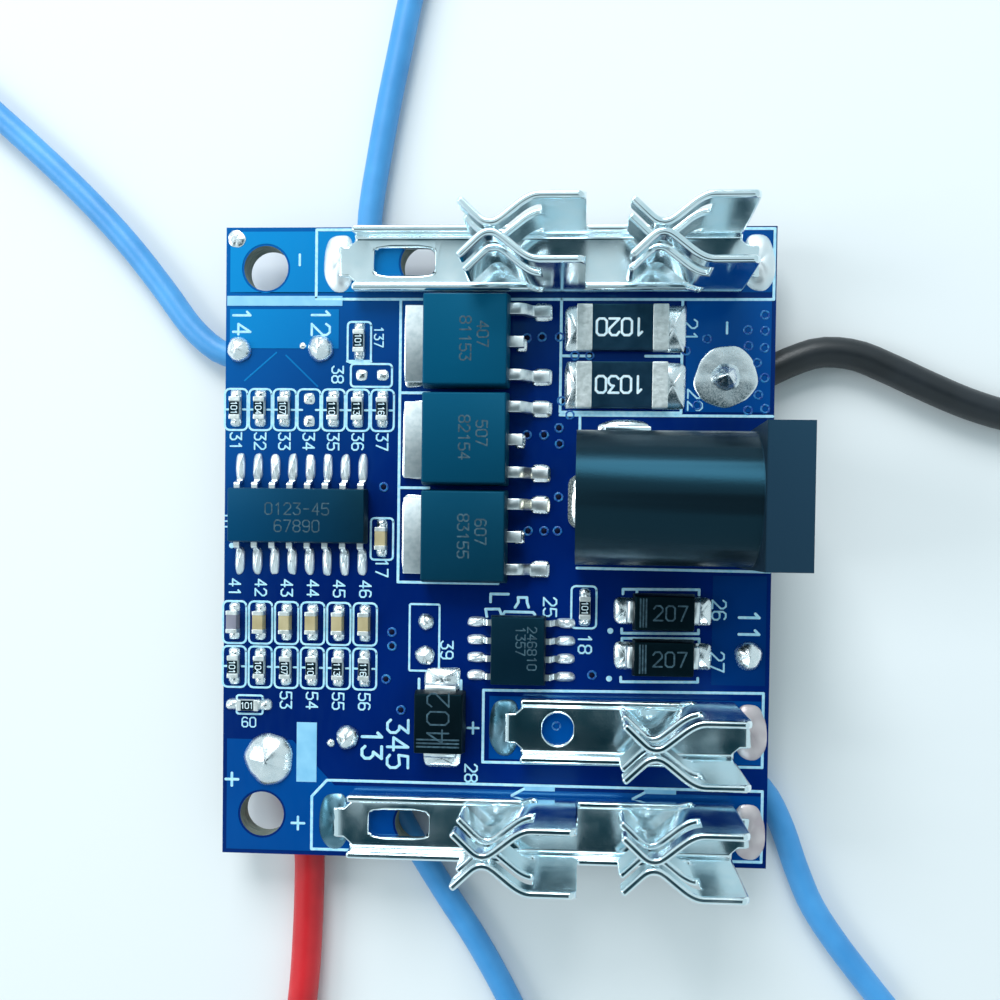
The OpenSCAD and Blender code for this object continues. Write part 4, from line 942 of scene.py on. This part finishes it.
element_coat = clouded_finish("element_coat", (0.004, 0.012, 0.028), (0.01, 0.026, 0.05), 0.3, (1200, 3),
                              relief=(0.00002, 0.5))
tinted(element_coat, 0.5, (0.15, 0.7, 1))
end_cap = clouded_finish("end_cap_tin", (0.68, 0.72, 0.7), (0.9, 0.93, 0.92), 0.4, (2600, 4),
                         (0.3, 0.6), 0.85, (0.00005, 0.6))
white_ink = clouded_finish("white_ink", (0.6, 0.8, 0.9), (0.8, 0.92, 0.97), 0.5, (3000, 2), (0.3, 0.6))
shunt_cap = 1.1
shunt_marks = []
for k, text in ((1, "1020"), (2, "1030")):
    node = "shunt_resistor_%d" % k
    low, high = board_mm(node)
    middle = (low + high) / 2
    rounded_boxes(node + "_element", [low + (0.3, 0.02, 0.05)], [high - (0.3, 0.02, 0.0)], element_coat,
                  "chip_resistor", 0.06, node)
    rounded_boxes(node + "_ends", [low, (high[0] - shunt_cap, low[1], 0)],
                  [(low[0] + shunt_cap, high[1], high[2] + 0.02), high + (0, 0, 0.02)], end_cap,
                  "tinned_sheet", 0.08)
    solder_crowns(node + "_solder", [(low[0] - 0.05, middle[1], 0.8, 1.6, 0.42),
                                     (high[0] + 0.35, middle[1], 0.95, 1.6, 0.42)], 40 + k, 7)
    shunt_marks += number(text, middle[0] - 0.15, middle[1], 1.15, 180, 0.16)
strokes("shunt_numbers", shunt_marks, 0.17, 0.015, white_ink, high[2], "chip_resistor")


# ---- control and driver chips ----
# Two moulded chips with gull-wing leads of tinned copper in rows, each foot in its own ramp of
# solder on a long pad.
# The control chip's epoxy is painted lighter towards its left end: a painted reflection.
control_epoxy = moulding_finish("control_chip_epoxy", (0.001, 0.009, 0.02), (0.002, 0.014, 0.03), 0.42,
                                (0.001, 0.045, 0.12), (-1, 0), (9, 19))
driver_epoxy = moulding_finish("driver_chip_epoxy", (0.001, 0.006, 0.014), (0.002, 0.009, 0.02), 0.42)
rounded_copy("control_chip_moulding", "control_chip_body", 0.07, 2, control_epoxy, "moulded_black", 20)
rounded_copy("driver_chip_moulding", "driver_chip_body", 0.07, 2, driver_epoxy, "moulded_black", 20)
finish_node("control_chip_leads", tinned_plate)
finish_node("driver_chip_leads", tinned_plate)
lead_pitch = 1.27
half_lead = 0.21
low, high = board_mm("control_chip_leads")
feet = [(low[0] + half_lead + k * lead_pitch, y, 0.35, 1.0, 0.34) for k in range(8)
        for y in (high[1] + 0.45, low[1] - 0.25)]
low, high = board_mm("driver_chip_leads")
feet += [(x, low[1] + half_lead + k * lead_pitch, 0.68, 0.36, 0.32) for k in range(4)
         for x in (low[0] - 0.02, high[0] + 0.3)]
solder_crowns("chip_feet_solder", feet, 50, 3, white_solder)
x, y, _ = np.mean(board_mm("control_chip_body"), axis=0)
chip_marks = number("0123-45", x + 0.1, y + 0.45, 0.8, 0) + number("67890", x + 0.1, y - 0.75, 0.8, 0)
x, y, _ = np.mean(board_mm("driver_chip_body"), axis=0)
chip_marks += number("246810", x + 1.0, y + 0.2, 0.62) + number("1357", x + 0.2, y + 0.7, 0.62)
strokes("chip_marks", chip_marks, 0.09, mark_height, mark_finish, board_mm("driver_chip_body")[1][2],
        "moulded_black")


# ---- diodes ----
# Three diodes of moulded epoxy with tinned strips bent under their ends, soldered flat to broad
# pads. Each is marked with a band of lines at its cathode and a plain number.
diode_moulding = moulding_finish("diode_moulding", (0.001, 0.002, 0.003), (0.002, 0.004, 0.006), 0.4)
tinted(diode_moulding, 0.15, (0.12, 0.7, 1))
band_margin = 0.35
for k, node in enumerate(("large_diode", "small_diode_1", "small_diode_2")):
    rounded_copy(node + "_moulding", node + "_body", 0.1, 2, diode_moulding, "moulded_black", 20)
    rounded_copy(node + "_strips", node + "_terminals", 0.04, 2, tinned_plate, "tinned_sheet")
    low, high = board_mm(node + "_terminals")
    near, far = board_mm(node + "_body")
    x, y, _ = (low + high) / 2
    if node == "large_diode":
        ends = [(x, low[1] - 0.15, 1.3, 0.72, 0.3), (x, high[1] + 0.2, 1.3, 0.85, 0.4)]
        lines = number("402", x, y + 0.4, 1.5, 90)
        lines += [[(near[0] + band_margin, near[1] + step), (far[0] - band_margin, near[1] + step)]
                  for step in (0.6, 0.85, 1.1)]
    else:
        ends = [(low[0] - 0.02, y, 0.78, 0.98, 0.34), (high[0] + 0.12, y, 0.78, 0.98, 0.34)]
        lines = number("207", x + 0.4, y, 1.0, 0)
        lines += [[(near[0] + step, near[1] + band_margin), (near[0] + step, far[1] - band_margin)]
                  for step in (0.5, 0.7, 0.9)]
    solder_crowns(node + "_solder", ends, 60 + k, 5)
    strokes(node + "_marks", lines, 0.12, mark_height, mark_finish, far[2], "moulded_black")


# ---- small chips ----
# Chip resistors and capacitors, 1.6 by 0.8 mm: a ceramic block with tin wrapped over both ends. A
# resistor has a black glaze with a number on its top, and a capacitor shows its bare ceramic.
def solids_of(node):
    """Lowest and highest corners, in mm from the board's middle and top, of each loose solid of a
    node, from left to right: every point takes the least label of its neighbours until none changes."""
    mesh = merged_copy(node)
    points = np.empty(len(mesh.vertices) * 3)
    mesh.vertices.foreach_get("co", points)
    points = points.reshape(-1, 3)
    edges = np.empty(len(mesh.edges) * 2, int)
    mesh.edges.foreach_get("vertices", edges)
    edges = edges.reshape(-1, 2)
    bpy.data.meshes.remove(mesh)
    label = np.arange(len(points))
    settled = False
    while not settled:
        least = label.copy()
        np.minimum.at(least, edges[:, 0], label[edges[:, 1]])
        np.minimum.at(least, edges[:, 1], label[edges[:, 0]])
        settled = np.array_equal(least, label)
        label = least
    boxes = [(points[label == one].min(0), points[label == one].max(0)) for one in np.unique(label)]
    boxes = [((low - origin) / mm, (high - origin) / mm) for low, high in boxes]
    return sorted(boxes, key=lambda box: tuple(box[0][:2]))


glaze = moulding_finish("resistor_glaze", (0.004, 0.008, 0.012), (0.008, 0.016, 0.024), 0.22)
ceramic = moulding_finish("resistor_ceramic", (0.5, 0.55, 0.56), (0.68, 0.72, 0.72), 0.5)
beige = moulding_finish("capacitor_ceramic", (0.42, 0.33, 0.17), (0.6, 0.5, 0.3), 0.42)
grey = moulding_finish("capacitor_ceramic_grey", (0.2, 0.19, 0.24), (0.32, 0.3, 0.36), 0.42)
chip_l = 1.6
cap_l = 0.3
lip = 0.02
chip_solder = []
for node in ("upper_resistors", "lower_resistors", "sensing_resistor", "gate_resistor", "zero_ohm_link",
             "cell_capacitors", "supply_capacitor"):
    solids = solids_of(node)
    bodies, glazes, ends, numbers = [], [], [], []
    for count, (low, high) in enumerate(solids):
        upright = high[1] - low[1] > high[0] - low[0]
        way = np.array([0, 1, 0]) if upright else np.array([1, 0, 0])
        bodies.append((low + way * cap_l / 2 + lip, high - way * cap_l / 2 - lip))
        glazes.append((low + way * cap_l * 1.02 + (0.04, 0.04, high[2] - low[2] - 0.03),
                       high - way * cap_l * 1.02 - (0.04, 0.04, -0.005)))
        ends += [(low, high - way * (chip_l - cap_l)), (low + way * (chip_l - cap_l), high)]
        x, y, _ = (low + high) / 2
        if upright:
            chip_solder += [(x, high[1] + 0.17, 0.42, 0.42, 0.3), (x, low[1] - 0.12, 0.42, 0.42, 0.34)]
        else:
            chip_solder += [(high[0] + 0.35, y, 0.55, 0.42, 0.32), (low[0] - 0.35, y, 0.55, 0.42, 0.34)]
        numbers += number("%d" % (101 + 3 * count), x, y, 0.42, -90 if upright else 0, 0.16)
    if node == "cell_capacitors":
        rounded_boxes(node + "_blocks", *zip(*bodies[1:]), beige, "chip_capacitor", 0.1, node)
        rounded_boxes(node + "_first_block", *zip(*bodies[:1]), grey, "chip_capacitor", 0.1)
    elif node == "supply_capacitor":
        rounded_boxes(node + "_block", *zip(*bodies), beige, "chip_capacitor", 0.1, node)
    else:
        rounded_boxes(node + "_blocks", *zip(*bodies), ceramic, "chip_resistor", 0.1, node)
        rounded_boxes(node + "_glaze", *zip(*glazes), glaze, "chip_resistor", 0.1)
        strokes(node + "_numbers", numbers, 0.06, 0.006, white_ink, solids[0][1][2] + 0.005,
                "chip_resistor")
    rounded_boxes(node + "_ends", *zip(*ends), end_cap, "tinned_sheet", 0.12)
bare_pads = [(-13.4, 10.33), (-13.4, 8.72), (-9.63, 12.03), (-8.12, 12.04)]
chip_solder += [(x, y, 0.42, 0.4, 0.14) for x, y in bare_pads]
solder_crowns("chip_solder", chip_solder, 70, 3.2)


# ---- lead joints ----
# Each lead's bare core comes up through a plated hole and is held by a dome of solder. The two thick
# leads have large joints; the black one stands in a broad flat ring of tin.
def joint_domes(name, domes, seed, *nodes):
    """Domes of solder round wire ends, each (x, y, radius, H, p, k). Over share q of the way out the
    height is H ((1 - q^2)^p + k exp(-(q / 0.25)^2)): a dome with a wire end at its middle."""
    turn = np.linspace(0, 2 * np.pi, 48, endpoint=False)
    q = np.concatenate([[0], np.linspace(0.06, 0.94, 16), [0.98, 1.0, 1.0, 0]])[:, None]
    wave = waves(len(domes), turn, seed, [(0.06, 2), (0.05, 3), (0.04, 5), (0.02, 9)])[:, None]
    x0, y0, radius, tall, power, knob = (np.array(domes, float)[:, k, None, None] for k in range(6))
    z = tall * (np.clip(1 - q**2, 0, 1)**power + knob * np.exp(-(q / 0.25)**2)) * (1 + 1.6 * q * wave)
    z[:, -2:] = 0
    reach = radius * q * (1 + 0.5 * wave * q)
    points = np.stack([x0 + reach * np.cos(turn), y0 + reach * np.sin(turn), z], -1)
    add_piece(name, surface_mesh(points * mm + origin), solder, "solder", *nodes)


joint_domes("cell_lead_domes", [
    (18.0, -7.5, 1.0, 0.75, 0.6, 0.1), (-12.6, 13.9, 0.95, 0.7, 0.6, 0.15),
    (-10.4, -13.9, 0.85, 0.6, 0.5, 0.05), (-18.5, 13.8, 0.9, 0.7, 0.6, 0.1),
    (-11.6, -14.35, 0.3, 0.2, 0.6, 0), (-13.9, 14.1, 0.25, 0.12, 0.6, 0)], 80, "lead_solder_joints")
joint_domes("power_lead_domes", [(-16.1, -15.6, 1.85, 0.95, 0.7, 0.12),
                                 (16.1, 12.0, 1.06, 0.9, 1.1, 0.2)], 84)
joint_domes("negative_ring", [(16.1, 12.0, 2.2, 0.12, 0.18, 0)], 85)
joint_domes("thermistor_domes", [(-4.8, -5.5, 0.6, 0.4, 0.6, 0), (-4.85, -7.9, 0.72, 0.42, 0.6, 0.2),
                                 (-18.74, 21.69, 0.64, 0.14, 0.3, 0)], 86, "thermistor_solder_joints")


# ---- floor, light ----
# A plain pale table and soft light: two wide panels behind and to the left, and an even pale room
# with a dark patch overhead, which the tin and the gloss mirror.
floor_half_side = 0.6
corners = floor_half_side * np.array([(-1, -1, 0), (1, -1, 0), (1, 1, 0), (-1, 1, 0)])
floor_mesh = bpy.data.meshes.new("floor")
floor_mesh.from_pydata(corners, [], [(0, 1, 2, 3)])
floor_mesh.materials.append(new_finish("pale_table", (0.82, 0.83, 0.84), 0.8)[2])
floor = bpy.data.objects.new("floor", floor_mesh)
bpy.context.scene.collection.objects.link(floor)


def panel(name, place, size, power, colour):
    """Square lamp at place, turned to the middle of the table."""
    data = bpy.data.lights.new(name, "AREA")
    data.size = size
    data.energy = power
    data.color = colour
    lamp = bpy.data.objects.new(name, data)
    lamp.location = place
    lamp.rotation_euler = (math.atan2(math.hypot(place[0], place[1]), place[2]), 0,
                           math.atan2(-place[0], place[1]) + math.pi)
    bpy.context.scene.collection.objects.link(lamp)


panel("back_panel", (-0.06, 0.30, 0.26), 0.20, 1.1, (0.93, 0.98, 1))
panel("left_panel", (-0.30, 0.02, 0.22), 0.16, 0.45, (0.9, 0.97, 1))
world = bpy.data.worlds.new("room")
world.use_nodes = True
room = world.node_tree
room_place = room.nodes.new("ShaderNodeTexCoord")
room_shape = room.nodes.new("ShaderNodeMapping")
dark_half = (0.40, 0.36)
dark_forward = 0.12
room_shape.inputs["Scale"].default_value = (1 / dark_half[0], 1 / dark_half[1], 0)
room_shape.inputs["Location"].default_value = (0, dark_forward / dark_half[1], 0)
room_reach = room.nodes.new("ShaderNodeVectorMath")
room_reach.operation = "LENGTH"
room.links.new(room_place.outputs["Generated"], room_shape.inputs["Vector"])
room.links.new(room_shape.outputs["Vector"], room_reach.inputs[0])
room_colour = ramp(room, room_reach.outputs["Value"], [
    (0.0, (0.003, 0.02, 0.03)), (0.8, (0.012, 0.06, 0.085)), (1.0, (0.75, 0.94, 1.0))])
room.links.new(room_colour, room.nodes["Background"].inputs["Color"])
room.nodes["Background"].inputs["Strength"].default_value = 0.75
bpy.context.scene.world = world
bpy.context.scene.view_settings.view_transform = "Standard"
